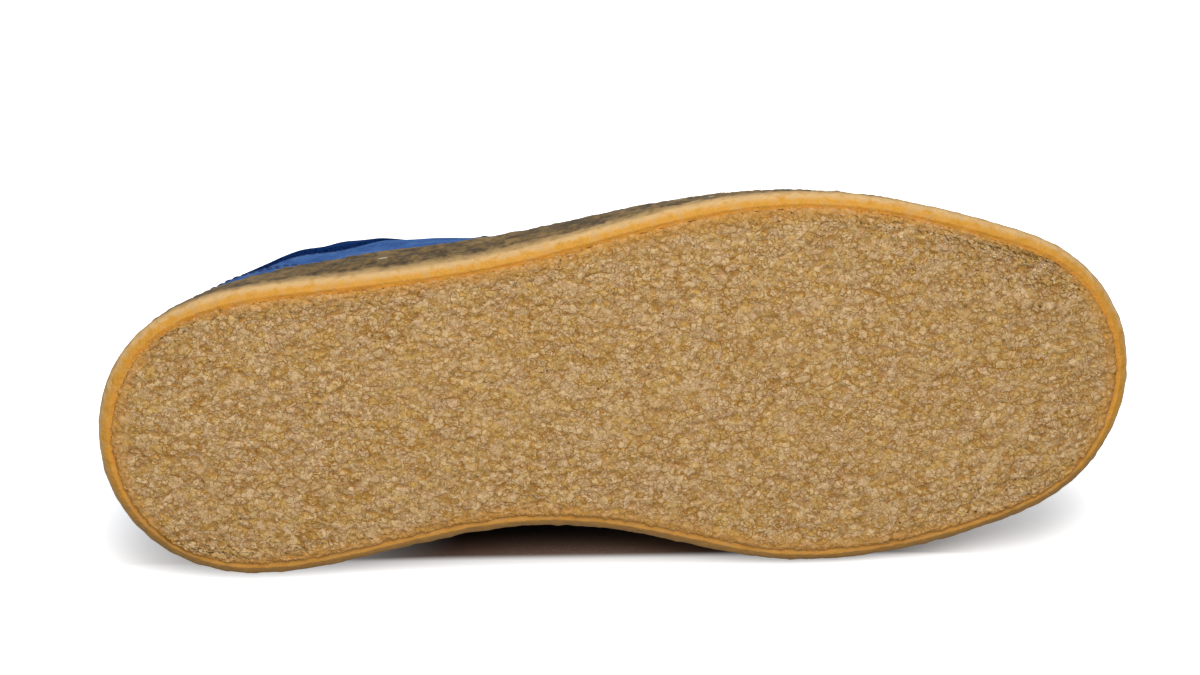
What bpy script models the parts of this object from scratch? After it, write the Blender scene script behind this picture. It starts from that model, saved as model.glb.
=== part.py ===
"""A right low-cut sneaker: a hollow suede upper on a moulded crepe cup sole, lying on its medial side.

Every size is in millimetres in the shoe's own axes: x runs from the heel to the toe, y towards the
medial side and z up from the tread. At the end the whole shoe is laid on the floor by its parent.
A place round the shoe is given by its turn: 0 at the back of the heel, 1 at the toe tip and 2 back
at the heel, the lateral side first. Both sides use the same columns, so facing pieces run parallel.
"""

import math
from functools import lru_cache

import bmesh
import bpy
import numpy as np
from mathutils import Matrix, Vector

MM = 0.001
GAP = 0.3  # between pieces that meet
COLUMNS = 80  # round the shoe; column k and column COLUMNS - k face each other

# ---- the sole: its widest line, the lip of the cup and the bed that the foot stands on
LENGTH = 298.5
HEEL_BACK = (0.0, 4.7)
TOE_TIP = (LENGTH, 0.2)
SOLE_COLUMNS = ("x", "lateral", "medial", "lateral_lip", "medial_lip", "wall", "bed")
SOLE_SECTIONS = (
    # x, half widths at the widest line, lip's step in from it, height of the wall and of the bed
    (0.0, 0.0, 0.0, 3.0, 3.0, 24.5, 16.5),
    (12.0, 26.0, 33.4, 4.9, 2.6, 24.4, 16.5),
    (30.0, 36.0, 44.2, 3.8, 2.0, 24.2, 16.5),
    (60.0, 40.2, 45.6, 0.9, 1.0, 24.0, 16.0),
    (90.0, 42.0, 40.4, -0.6, -0.4, 23.6, 15.0),
    (122.0, 45.8, 37.0, -0.2, -1.0, 22.6, 13.5),
    (157.0, 53.2, 42.4, 1.3, 0.2, 21.0, 12.0),
    (192.0, 57.8, 51.6, 3.0, 2.6, 19.5, 10.5),
    (225.0, 54.9, 51.8, 4.2, 4.0, 18.5, 10.0),
    (258.0, 44.9, 45.6, 4.6, 4.6, 18.2, 10.0),
    (282.0, 32.8, 34.9, 4.8, 4.8, 18.4, 10.2),
    (LENGTH, 0.0, 0.0, 5.0, 5.0, 18.8, 10.4),
)
SPRING_START = 205.0  # the sole is flat behind this and curves up in front of it
TOE_SPRING = 9.0
RIM_WIDTH = 3.3  # the rounded edge of the cup, seen from below
RIM_HEIGHT = 4.6
RIM_CREST = 0.4  # how far the rim's crest stands back from the floor
RIM_FACETS = 4
GROOVE = 0.8  # between the rim and the tread sheet
TREAD_THICKNESS = 4.0
TREAD_EDGE = 0.5
LIP_THICKNESS = 3.6
WALL_BARREL = 0.5  # how far the side wall swells
WALL_PARTS = (0.35, 0.7, 1.0)  # heights of its rings, from the rim to the lip
LIP_ROUND = (1.0, 0.4)  # how far in and how far up the lip's rounded edge stands

# ---- the upper: its top line, and the shape of its side below each point of that line
WALL = 2.0  # suede and lining
TOP_COLUMNS = ("share", "x", "middle", "half", "z")
TOP_LINE = (
    # share of the way from heel to toe; place of the top edge, whose half width closes on the vamp
    (0.000, 11.0, 4.4, 0.0, 92.5),
    (0.050, 14.3, 4.6, 9.6, 91.0),
    (0.100, 23.0, 4.6, 16.8, 86.5),
    (0.150, 35.0, 3.8, 23.0, 81.0),
    (0.200, 50.0, 2.4, 28.4, 77.5),
    (0.250, 65.0, 1.4, 33.0, 76.5),
    (0.300, 81.0, 1.2, 33.0, 79.5),
    (0.350, 98.0, 1.2, 28.0, 88.0),
    (0.375, 107.0, 1.4, 24.0, 94.0),
    (0.400, 115.0, 1.6, 21.0, 96.0),
    (0.500, 149.0, 0.8, 15.6, 86.5),
    (0.575, 175.0, -0.6, 12.5, 77.5),
    (0.600, 184.0, -1.0, 9.5, 74.0),
    (0.625, 189.5, -1.3, 0.0, 72.0),
    (0.700, 207.0, -1.7, 0.0, 67.0),
    (0.800, 225.0, -1.6, 0.0, 62.0),
    (0.900, 240.0, 0.2, 0.0, 57.4),
    (1.000, 254.0, 1.4, 0.0, 52.0),
)
ARCH_REACH = 0.37  # of the throat's width, that its bridging arch keeps each side's direction
VAMP_SHARE = 0.625  # where the throat closes and the sides meet
SIDE_COLUMNS = ("share", "lean", "fall", "swell", "rise", "run")
SIDE_SHAPES = (
    # share; lean of the top from upright in degrees, fall of the crest, outward swell of the side,
    # and how far the curve runs straight on from its lip and from its top
    (0.000, 14.0, 0.00, 5.0, 26.0, 30.0),
    (0.100, 13.0, 0.00, -0.6, 22.0, 24.0),
    (0.275, 12.0, 0.00, 0.0, 20.0, 20.0),
    (0.325, 20.0, 0.08, -1.0, 20.0, 19.0),
    (0.375, 34.0, 0.20, -3.0, 21.0, 17.0),
    (0.500, 58.0, 0.36, -2.5, 19.0, 20.0),
    (0.600, 80.0, 0.40, -0.4, 18.0, 24.0),
    (0.650, 90.0, 0.38, -0.4, 15.0, 24.0),
    (0.800, 90.0, 0.30, 0.4, 15.0, 26.0),
    (1.000, 90.0, 0.42, 2.0, 15.0, 24.0),
)
HEART = (60.0, 230.0, 35.0)  # the line inside the shoe that its faces look away from: x, x and z
FAN_SHARES = (0.30, 0.60)  # between these the side turns from square across to aimed at its top point
UPPER_HEIGHTS = (0.0, 0.14, 0.28, 0.42, 0.56, 0.7, 0.85, 1.0)  # of each side, from lip to top edge

# ---- the collar: a padded band that caps the suede from one side of the throat round to the other
BAND = 15.0  # how far it comes down outside
BAND_END = 1.5  # the same at its two ends
BAND_TAPER = 0.275  # share where it starts to narrow
COLLAR_SWELL = 0.5
COLLAR_THIN = 0.45  # share of its padding that is left at its ends
COLLAR_BACK = 2  # gaps more between its back and the suede at its ends
COLLAR_END = 15  # column where the stay begins
COLLAR_CLEAR = 0.25  # of a column, short of the stay
COLLAR_SEAM = 0.55  # between its band and the suede, whose edges are twisted near the throat
COLLAR_SEAT = (0.0, 0.5, 1.0)  # places of its back, from the lining's end up to the band's
COLLAR_ROLL = (
    # down from the top line; out from the suede's face
    (1.4, -0.1),
    (-0.4, -1.0),
    (-1.6, -3.6),
    (-0.8, -6.4),
    (3.0, -8.2),
    (10.0, -8.8),
    (18.0, -7.4),
    (25.0, -5.2),
    (30.0, -4.2),
)

# ---- the overlays, cut from the same sides as the upper
OVERLAY = 1.4
OVERLAY_GAP = 0.55  # its flat facets then stay GAP clear of the upper's
COUNTER_END = 12  # column where the heel counter runs out
COUNTER_HEIGHT = 44.0
COUNTER_FOOT = 0.9  # clear of the cup's lip
COUNTER_CURVES = (1.8, 1.2)  # powers that round its top and flatten its ends
STAY_START = 15
STAY_END = 28  # its last column
STAY_COLUMNS = ("share", "across")
STAY_EDGE = (
    # share; how far across from the crest the stay's outer edge runs
    (0.375, 38.0),
    (0.400, 41.5),
    (0.450, 40.0),
    (0.525, 35.5),
    (0.600, 28.5),
    (0.650, 21.0),
    (0.675, 15.0),
    (0.700, 6.0),
)

# ---- lacing
EYELET_PAIRS = 6
EYELET_DIAMETER = 4.6
EYELET_FACETS = 10
EYELET_PUNCH = 12.0  # length of the punch
EYELET_IN = 7.6  # from the throat's edge
EYELET_SHARES = (0.405, 0.595)
LACE_WIDTH = 6.0
LACE_THICKNESS = 1.8
LACE_OVER = 0.8  # how much higher the upper strand of a crossing lies
LACE_POINTS = 8

# ---- tongue and insole
TONGUE_HALF = (15.0, 24.5)  # at its foot and at the top eyelet
TONGUE_THICKNESS = 4.5
TONGUE_FOOT = 0.665  # share
TONGUE_TOP = 0.40
TONGUE_TIP = (
    # steps of its free end: length, climb in degrees, half width, droop of its edges, thickness
    (6.0, 28.0, 20.0, 7.0, 5.0),
    (7.0, 38.0, 22.0, 7.5, 5.5),
    (7.0, 46.0, 23.0, 7.5, 5.5),
    (5.0, 50.0, 21.5, 6.5, 5.0),
    (2.5, 52.0, 17.5, 4.5, 3.4),
)
TONGUE_POINTS = 9
TONGUE_PUFF = 1.8  # it swells up between the edges of the throat
INSOLE = 4.0
INSOLE_CUP = 1.6  # how far its edge is cupped up
INSOLE_RINGS = (2.0, 9.0)  # where the cupped edge's top ends and where the flat bed starts, from outside

BALANCE = (138.0, 0.0, 22.0)  # the shoe's centre of mass, nearly
MEDIAL_FACING = 0.8  # a hull face turned at least this much to the medial side can be lain on
SHARP_ANGLE = 40.0  # edges sharper than this stay crisp

FINISHES = {
    # colour, roughness
    "crepe_side": ((0.36, 0.24, 0.12), 0.55),
    "crepe_tread": ((0.45, 0.27, 0.11), 0.85),
    "blue_suede": ((0.045, 0.125, 0.34), 0.95),
    "navy_lining": ((0.01, 0.02, 0.07), 0.9),
    "navy_lace": ((0.012, 0.024, 0.085), 0.85),
}


# ---- curves and tables
def table(names, rows):
    """The columns of a table by name."""
    return dict(zip(names, np.array(rows, float).T))


def monotone(xs, ys, x, flat=True):
    """A smooth curve through rising xs that never overshoots; flat ends suit what both sides share."""
    gaps = np.diff(xs)
    slopes = np.diff(ys) / gaps
    tangents = np.zeros(len(xs))
    for i in range(1, len(xs) - 1):
        if slopes[i - 1] * slopes[i] > 0:
            before, after = 2 * gaps[i] + gaps[i - 1], gaps[i] + 2 * gaps[i - 1]
            tangents[i] = (before + after) / (before / slopes[i - 1] + after / slopes[i])
    if not flat:
        tangents[0], tangents[-1] = slopes[0], slopes[-1]
    i = int(np.clip(np.searchsorted(xs, x) - 1, 0, len(xs) - 2))
    t = (x - xs[i]) / gaps[i]
    return (
        (1 + 2 * t) * (1 - t) ** 2 * ys[i]
        + t * (1 - t) ** 2 * gaps[i] * tangents[i]
        + t * t * (3 - 2 * t) * ys[i + 1]
        + t * t * (t - 1) * gaps[i] * tangents[i + 1]
    )


def closed_spline(points, steps=24):
    """Points along the smooth closed curve through the given ones, steps to a span."""
    points = np.array(points, float)
    count = len(points)
    gaps = np.linalg.norm(np.roll(points, -1, axis=0) - points, axis=1)
    system = np.zeros((count, count))
    target = np.zeros_like(points)
    for i in range(count):
        j = (i + 1) % count
        system[i, i - 1] += gaps[i - 1]
        system[i, i] += 2 * (gaps[i - 1] + gaps[i])
        system[i, j] += gaps[i]
        target[i] = 6 * ((points[j] - points[i]) / gaps[i] - (points[i] - points[i - 1]) / gaps[i - 1])
    bend = np.linalg.solve(system, target)
    made = []
    for i in range(count):
        j = (i + 1) % count
        for t in np.arange(steps) / steps:
            line = points[i] * (1 - t) + points[j] * t
            curve = ((1 - t) ** 3 - (1 - t)) * bend[i] + (t**3 - t) * bend[j]
            made.append(line + curve * gaps[i] ** 2 / 6)
    return np.array(made)


def bezier(points, t):
    a, b, c, d = points
    return (1 - t) ** 3 * a + 3 * t * (1 - t) ** 2 * b + 3 * t * t * (1 - t) * c + t**3 * d


def blend(x, low, high):
    """0 below low, 1 above high, smooth between."""
    t = min(max((x - low) / (high - low), 0.0), 1.0)
    return t * t * (3 - 2 * t)


SOLE = table(SOLE_COLUMNS, SOLE_SECTIONS)
TOP = table(TOP_COLUMNS, TOP_LINE)
SIDE = table(SIDE_COLUMNS, SIDE_SHAPES)
STAY = table(STAY_COLUMNS, STAY_EDGE)


def widest_line():
    """The sole's plan outline, with the turn of each of its points and its outward normals."""
    inner = SOLE_SECTIONS[1:-1]
    lateral = [(row[0], -row[1]) for row in inner]
    medial = [(row[0], row[2]) for row in reversed(inner)]
    line = closed_spline([HEEL_BACK, *lateral, TOE_TIP, *medial])
    toe = (len(lateral) + 1) * len(line) // (2 * len(inner) + 2)
    along = np.concatenate([[0.0], np.cumsum(np.linalg.norm(np.roll(line, -1, axis=0) - line, axis=1))])
    turns = np.where(
        np.arange(len(along)) <= toe,
        along / along[toe],
        1 + (along - along[toe]) / (along[-1] - along[toe]),
    )
    tangent = np.roll(line, -1, axis=0) - np.roll(line, 1, axis=0)
    normal = np.stack([-tangent[:, 1], tangent[:, 0]], axis=1)
    normal = -normal / np.linalg.norm(normal, axis=1, keepdims=True)
    centre = line.mean(axis=0)
    if np.sum((line - centre) * normal) < 0:
        normal = -normal
    close = [0]
    return turns, np.vstack([line, line[close]]), np.vstack([normal, normal[close]])


TURNS, LINE, NORMALS = widest_line()


def edge(turn):
    """A point of the widest line and the outward normal there, in plan."""
    turn %= 2
    point = np.array([np.interp(turn, TURNS, LINE[:, i]) for i in range(2)])
    normal = np.array([np.interp(turn, TURNS, NORMALS[:, i]) for i in range(2)])
    return point, normal / np.linalg.norm(normal)


def share_of(turn):
    """How far along its side from heel to toe a turn lies."""
    turn %= 2
    return min(turn, 2 - turn)


def spring(x):
    """How far the toe spring lifts the sole at x."""
    return TOE_SPRING * max(0.0, (x - SPRING_START) / (LENGTH - SPRING_START)) ** 2


def sole_size(name, x):
    return monotone(SOLE["x"], SOLE[name], min(max(x, 0.0), LENGTH))


def lip_in(turn, x):
    """How far the cup's lip stands in from the widest line, blending the sides at heel and toe."""
    lateral = blend(math.sin(math.pi * (turn % 2)), -0.25, 0.25)
    return lateral * sole_size("lateral_lip", x) + (1 - lateral) * sole_size("medial_lip", x)


def sole_point(turn, inset, z):
    """A point of the sole, inset from its widest line, at a height above the tread."""
    point, normal = edge(turn)
    x, y = point - normal * inset
    return np.array([x, y, z + spring(x)])


# ---- the upper's sides
def lip_point(turn, depth=0.0):
    """Where the upper's face leaves the cup, or a point at a depth below that on the way to the bed."""
    x = edge(turn)[0][0]
    inset = lip_in(turn, x) + LIP_THICKNESS + GAP
    wall = sole_size("wall", x)
    foot = sole_size("bed", x) + GAP
    return sole_point(turn, inset, wall + (foot - wall) * depth)


def top_point(turn):
    share = share_of(turn)
    size = {name: monotone(TOP["share"], TOP[name], share) for name in ("x", "middle", "z")}
    half = monotone(TOP["share"], TOP["half"], share, flat=False)
    side = -1 if turn % 2 <= 1 else 1
    return np.array([size["x"], size["middle"] + side * half, size["z"]])


@lru_cache(maxsize=None)
def side_curve(turn):
    """The four points of the curve that an upper's side follows from the lip to its top."""
    share = share_of(turn)
    lean, fall, swell, rise, run = (monotone(SIDE["share"], SIDE[n], share) for n in SIDE_COLUMNS[1:])
    low, top = lip_point(turn), top_point(turn)
    outward = edge(turn)[1]
    aimed = (top - low)[:2] / max(np.linalg.norm((top - low)[:2]), 1e-6)
    fan = blend(share, *FAN_SHARES)
    inward = aimed * fan - outward * (1 - fan)
    inward /= np.linalg.norm(inward)
    tilt = math.radians(lean)
    up = np.array([inward[0], inward[1], -fall * inward[0]]) * math.sin(tilt)
    up[2] += math.cos(tilt)
    up /= np.linalg.norm(up)
    swollen = low + np.array([outward[0] * swell, outward[1] * swell, rise])
    return low, swollen, top - up * run, top


def side_top(turn):
    """The top of a side and the direction in which it goes on."""
    curve = side_curve(turn)
    onward = curve[3] - curve[2]
    return curve[3], onward / np.linalg.norm(onward)


@lru_cache(maxsize=None)
def side_lengths(turn):
    """Heights down a side, and how far each lies from its top."""
    curve = side_curve(turn)
    steps = np.linspace(1, 0, 25)
    points = np.array([bezier(curve, t) for t in steps])
    return np.concatenate([[0.0], np.cumsum(np.linalg.norm(np.diff(points, axis=0), axis=1))]), steps


def side_height(turn, down):
    """How far up a side, from 0 at the lip to 1, a place lies that is so far down from its top."""
    return float(np.interp(down, *side_lengths(turn)))


def side_point(turn, height):
    """A point of the upper's face; negative heights run down inside the cup."""
    if height < 0:
        return lip_point(turn, -height)
    return bezier(side_curve(turn), height)


def side_normal(turn, height):
    step = 0.004
    around = side_point(turn + step, height) - side_point(turn - step, height)
    low, high = max(height - step, 0.0), min(height + step, 1.0)
    upward = side_point(turn, high) - side_point(turn, low)
    normal = np.cross(around, upward)
    if height == 1.0 and share_of(turn) >= VAMP_SHARE:
        normal[1] = 0.0  # both sides share the crest
    return normal / np.linalg.norm(normal)


def offset_point(turn, height, out):
    """A point so far out from the upper's face."""
    return side_point(turn, height) + side_normal(turn, height) * out


# ---- across the throat
def arch(share, t):
    """A point of the arch that bridges the throat, from its lateral edge at 0 to its medial edge at 1."""
    (left, left_on), (right, right_on) = side_top(share), side_top(2 - share)
    reach = ARCH_REACH * np.linalg.norm(right - left)
    return bezier((left, left + left_on * reach, right + right_on * reach, right), t)


@lru_cache(maxsize=None)
def arch_half(share):
    points = np.array([arch(share, t) for t in np.linspace(0, 1, 13)])
    return np.linalg.norm(np.diff(points, axis=0), axis=1).sum() / 2


def instep_point(share, across):
    """A point of the instep so far across from its crest, medial positive, over throat or suede."""
    half = arch_half(share)
    if abs(across) < half:
        return arch(share, 0.5 + across / half / 2)
    turn = share if across < 0 else 2 - share
    return side_point(turn, side_height(turn, abs(across) - half))


def instep_normal(share, across):
    step_share, step_across = 0.004, 0.4
    along = instep_point(share + step_share, across) - instep_point(share - step_share, across)
    sideways = instep_point(share, across + step_across) - instep_point(share, across - step_across)
    normal = np.cross(along, sideways)
    return normal / np.linalg.norm(normal)


# ---- making objects
def material(name):
    colour, roughness = FINISHES[name]
    made = bpy.data.materials.get(name) or bpy.data.materials.new(name)
    made.use_nodes = True
    shader = made.node_tree.nodes["Principled BSDF"]
    shader.inputs["Base Color"].default_value = (*colour, 1.0)
    shader.inputs["Roughness"].default_value = roughness
    return made


def finish_object(name, mesh_builder, finish, collection):
    """An object from a bmesh in millimetres, its faces turned outwards."""
    bmesh.ops.remove_doubles(mesh_builder, verts=mesh_builder.verts, dist=0.01)
    bmesh.ops.recalc_face_normals(mesh_builder, faces=mesh_builder.faces)
    bmesh.ops.scale(mesh_builder, vec=(MM, MM, MM), verts=mesh_builder.verts)
    mesh = bpy.data.meshes.new(name)
    mesh_builder.to_mesh(mesh)
    mesh_builder.free()
    mesh.shade_smooth()
    mesh.set_sharp_from_angle(angle=math.radians(SHARP_ANGLE))
    mesh.materials.append(material(finish))
    made = bpy.data.objects.new(name, mesh)
    collection.objects.link(made)
    return made


def add_grid(mesh_builder, rows, closed=False):
    """Faces between rows of points; closed joins each row's ends."""
    verts = [[mesh_builder.verts.new(p) for p in row] for row in rows]
    for low, high in zip(verts, verts[1:]):
        for k in range(len(low) if closed else len(low) - 1):
            j = (k + 1) % len(low)
            mesh_builder.faces.new((low[k], low[j], high[j], high[k]))
    return verts


def add_ladder(mesh_builder, ring):
    """Faces straight across a ring of columns, from each lateral one to the medial one facing it."""
    count = len(ring)
    for k in range(count // 2):
        loop = [ring[k], ring[k + 1], ring[-k - 1], ring[-k] if k else ring[0]]
        corners = list(dict.fromkeys(loop))
        mesh_builder.faces.new(corners)


def ring_solid(name, finish, collection, rings):
    """A closed body of rings of columns, its two ends bridged straight across."""
    mesh_builder = bmesh.new()
    verts = add_grid(mesh_builder, rings, closed=True)
    add_ladder(mesh_builder, verts[0])
    add_ladder(mesh_builder, verts[-1])
    return finish_object(name, mesh_builder, finish, collection)


def loft_solid(name, finish, collection, sections, fanned=False):
    """A closed body through closed sections; fanned ends are filled from each section's last point."""
    mesh_builder = bmesh.new()
    verts = add_grid(mesh_builder, sections, closed=True)
    for end in (verts[0], verts[-1]):
        if fanned:
            for first, second in zip(end, end[1:-1]):
                mesh_builder.faces.new((end[-1], first, second))
        else:
            bmesh.ops.triangulate(mesh_builder, faces=[mesh_builder.faces.new(end)])
    return finish_object(name, mesh_builder, finish, collection)


def faces_inward(mesh):
    """Whether an open sheet of the upper shows its back to the outside of the shoe."""
    facing = 0.0
    for face in mesh.polygons:
        heart = Vector((min(max(face.center.x, HEART[0] * MM), HEART[1] * MM), 0.0, HEART[2] * MM))
        facing += (face.center - heart).dot(face.normal) * face.area
    return facing < 0


def shell(name, finish, collection, rows_by_strip, thickness, out):
    """A sheet with a real thickness, from strips of rows that are welded where they touch."""
    mesh_builder = bmesh.new()
    for rows, closed in rows_by_strip:
        add_grid(mesh_builder, rows, closed)
    made = finish_object(name, mesh_builder, finish, collection)
    if faces_inward(made.data):
        made.data.flip_normals()
    solidify = made.modifiers.new("thickness", "SOLIDIFY")
    solidify.thickness = thickness * MM
    solidify.offset = 1.0 if out else -1.0
    solidify.use_even_offset = True
    return made


def turn_of(column):
    return 2 * column / COLUMNS % 2


# ---- the pieces
def sole_cup(collection):
    """The moulded cup: a seat for the tread, the rounded rim, the side wall, its lip and the bed."""
    def ring(inset_of, z_of):
        points = []
        for k in range(COLUMNS):
            turn = turn_of(k)
            x = edge(turn)[0][0]
            lip, wall, bed = lip_in(turn, x), sole_size("wall", x), sole_size("bed", x)
            points.append(sole_point(turn, inset_of(lip), z_of(wall, bed)))
        return points

    rings = [ring(lambda lip: RIM_WIDTH, lambda wall, bed: TREAD_THICKNESS + GAP)]
    for i in range(RIM_FACETS + 1):
        bend = math.radians(90 * i / RIM_FACETS)
        inset = RIM_WIDTH * (1 - math.sin(bend))
        z = RIM_CREST + (RIM_HEIGHT - RIM_CREST) * (1 - math.cos(bend))
        rings.append(ring(lambda lip, a=inset: a, lambda wall, bed, b=z: b))
    for part in WALL_PARTS:
        swell = WALL_BARREL * math.sin(math.pi * part)
        rings.append(
            ring(
                lambda lip, p=part, s=swell: lip * p - s,
                lambda wall, bed, p=part: RIM_HEIGHT + (wall - RIM_HEIGHT) * p,
            )
        )
    rings.append(ring(lambda lip: lip + LIP_ROUND[0], lambda wall, bed: wall + LIP_ROUND[1]))
    rings.append(ring(lambda lip: lip + LIP_THICKNESS, lambda wall, bed: wall))
    rings.append(ring(lambda lip: lip + LIP_THICKNESS, lambda wall, bed: bed))
    return ring_solid("sole_cup", "crepe_side", collection, rings)


def outsole_tread(collection):
    """The crepe sheet set into the cup's underside."""
    inset = RIM_WIDTH + GROOVE
    levels = ((TREAD_EDGE, 0.0), (0.0, TREAD_EDGE), (0.0, TREAD_THICKNESS))
    rings = [
        [sole_point(turn_of(k), inset + extra, z) for k in range(COLUMNS)] for extra, z in levels
    ]
    return ring_solid("outsole_tread", "crepe_tread", collection, rings)


def insole(collection):
    """The sock that lies on the cup's bed inside the upper, cupped up at its edge."""
    def ring(extra, above_bed):
        points = []
        for k in range(COLUMNS):
            turn = turn_of(k)
            x = edge(turn)[0][0]
            inset = lip_in(turn, x) + LIP_THICKNESS + WALL + 3 * GAP + extra
            points.append(sole_point(turn, inset, sole_size("bed", x) + GAP + above_bed))
        return points

    edge_top, bowl = INSOLE_RINGS
    rings = [
        ring(0.0, 0.0),
        ring(0.0, INSOLE + INSOLE_CUP),
        ring(edge_top, INSOLE + INSOLE_CUP),
        ring(bowl, INSOLE),
    ]
    return ring_solid("insole", "navy_lining", collection, rings)


def band_at(turn):
    """How far the collar's band comes down outside at a turn."""
    share = share_of(turn)
    return BAND - (BAND - BAND_END) * blend(share, BAND_TAPER, 2 * COLLAR_END / COLUMNS)


def suede_top(turn):
    """How far up its side the suede goes before the collar takes over."""
    column = share_of(turn) * COLUMNS / 2
    if column > COLLAR_END + 0.01:
        return 1.0
    return side_height(turn, band_at(turn) + COLLAR_SEAM)


def upper(collection):
    """Vamp and quarters in one hollow shell, open at the collar, at the throat and underneath."""
    turns = [turn_of(k) for k in range(COLUMNS)]
    tops = [suede_top(turn) for turn in turns]
    rows = [[side_point(turn, -1.0) for turn in turns]]
    for height in UPPER_HEIGHTS:
        rows.append([side_point(turn, height * top) for turn, top in zip(turns, tops)])
    made = shell("upper", "blue_suede", collection, [(rows, True)], WALL, out=False)
    return made


def collar(collection):
    """The padded roll over the top line, with its lining down inside."""
    sections = []
    for column in range(-COLLAR_END, COLLAR_END + 1):
        turn = turn_of(column)
        top, onward = side_top(turn)
        band = band_at(turn)
        swell = COLLAR_SWELL * (band / BAND) ** 2
        near_end = blend(share_of(turn), BAND_TAPER, turn_of(COLLAR_END))
        back = -WALL - 3 * GAP
        seat = back - COLLAR_BACK * GAP * near_end
        lining_end = COLLAR_ROLL[-1][0]
        roll = [(band, 0.0), ((band + COLLAR_ROLL[0][0]) / 2, swell), *COLLAR_ROLL]
        padding = 1 - (1 - COLLAR_THIN) * near_end
        points = []
        for down, out in roll:
            out = seat + (out - back) * padding if out < back else out
            height = side_height(turn, max(down, 0.0))
            points.append(offset_point(turn, height, out) + onward * max(-down, 0.0))
        for part in COLLAR_SEAT:
            down = lining_end + (band - lining_end) * part
            points.append(offset_point(turn, side_height(turn, down), seat))
        sections.append(np.array(points))
    sections[0] += (sections[1] - sections[0]) * COLLAR_CLEAR
    sections[-1] += (sections[-2] - sections[-1]) * COLLAR_CLEAR
    return loft_solid("collar", "navy_lining", collection, sections, fanned=True)


def heel_counter(collection):
    """The overlay round the heel, highest at the back and running down to the lip at its ends."""
    columns = range(1 - COUNTER_END, COUNTER_END)
    round_top, flat_end = COUNTER_CURVES
    rows = []
    for part in np.linspace(0, 1, 6):
        row = []
        for column in columns:
            turn = turn_of(column)
            full = side_height(turn, 0.0)
            length = np.linalg.norm(side_point(turn, full) - side_point(turn, 0.0))
            rise = COUNTER_HEIGHT * (1 - (abs(column) / COUNTER_END) ** round_top) ** flat_end
            low = COUNTER_FOOT / length
            row.append(offset_point(turn, low + (rise / length - low) * part, OVERLAY_GAP))
        rows.append(row)
    return shell("heel_counter", "blue_suede", collection, [(rows, False)], OVERLAY, out=True)


def eyestay(collection):
    """The lace stay: one band down the lateral edge of the throat, round its foot and up again."""
    strips = []
    for side in (1, -1):
        rows = []
        for part in np.linspace(0, 1, 5):
            row = []
            for column in range(STAY_START, STAY_END + 1):
                turn = turn_of(side * column)
                share = share_of(turn)
                width = monotone(STAY["share"], STAY["across"], share, flat=False) - arch_half(share)
                height = side_height(turn, width * part)
                row.append(offset_point(turn, height, OVERLAY_GAP))
            rows.append(row)
        strips.append((rows, False))
    return shell("eyestay", "blue_suede", collection, strips, OVERLAY, out=True)


def eyelet_places():
    """Share and distance across of each lateral eyelet, from the top pair down."""
    places = []
    for share in np.linspace(*EYELET_SHARES, EYELET_PAIRS):
        places.append((share, arch_half(share) + EYELET_IN))
    return places


def punch_eyelets(targets, cutters):
    """Cuts the eyelets through the suede and the stay."""
    mesh_builder = bmesh.new()
    for share, across in eyelet_places():
        for side in (-1, 1):
            normal = Vector(instep_normal(share, side * across))
            centre = Vector(instep_point(share, side * across))
            place = Matrix.Translation(centre) @ normal.to_track_quat("Z", "Y").to_matrix().to_4x4()
            bmesh.ops.create_cone(
                mesh_builder,
                cap_ends=True,
                segments=EYELET_FACETS,
                radius1=EYELET_DIAMETER / 2,
                radius2=EYELET_DIAMETER / 2,
                depth=EYELET_PUNCH,
                matrix=place,
            )
    cutter = finish_object("eyelet_punch", mesh_builder, "navy_lace", cutters)
    cutter.hide_render = True
    cutter.display_type = "WIRE"
    for target in targets:
        cut = target.modifiers.new("eyelets", "BOOLEAN")
        cut.operation = "DIFFERENCE"
        cut.object = cutter


def tongue(collection):
    """The padded tongue, from under the vamp up past the top eyelets to its free end."""
    foot_half, top_half = TONGUE_HALF
    under = WALL + 5 * GAP
    sections = []
    for share in np.linspace(TONGUE_FOOT, TONGUE_TOP, 12):
        up = (TONGUE_FOOT - share) / (TONGUE_FOOT - TONGUE_TOP)
        half = foot_half + (top_half - foot_half) * blend(up, 0.0, 0.5)
        open_half = arch_half(share)
        outer, inner = [], []
        for across in np.linspace(-half, half, TONGUE_POINTS):
            puff = TONGUE_PUFF * (1 - blend(abs(across), open_half * 0.4, open_half * 0.9 + 0.1))
            puff *= blend(open_half, 4.0, 9.0)
            body = TONGUE_THICKNESS * (0.5 + 0.5 * (1 - (across / half) ** 4))
            body *= 0.6 + 0.4 * blend(up, 0.1, 0.5)
            normal = instep_normal(share, across)
            point = instep_point(share, across)
            outer.append(point - normal * (under - puff))
            inner.append(point - normal * (under + body))
        sections.append(outer + inner[::-1])
    middle = instep_point(TONGUE_TOP, 0.0) - instep_normal(TONGUE_TOP, 0.0) * (under - TONGUE_PUFF)
    for length, climb, half, droop, body in TONGUE_TIP:
        climb = math.radians(climb)
        middle = middle + length * np.array([-math.cos(climb), 0.0, math.sin(climb)])
        facing = np.array([math.sin(climb), 0.0, math.cos(climb)])
        outer, inner = [], []
        for part in np.linspace(-1, 1, TONGUE_POINTS):
            point = middle + np.array([0.0, half * part, 0.0]) - facing * droop * part * part
            outer.append(point)
            inner.append(point - facing * body * (1 - part**4 / 2))
        sections.append(outer + inner[::-1])
    return loft_solid("tongue", "blue_suede", collection, sections)


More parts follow.
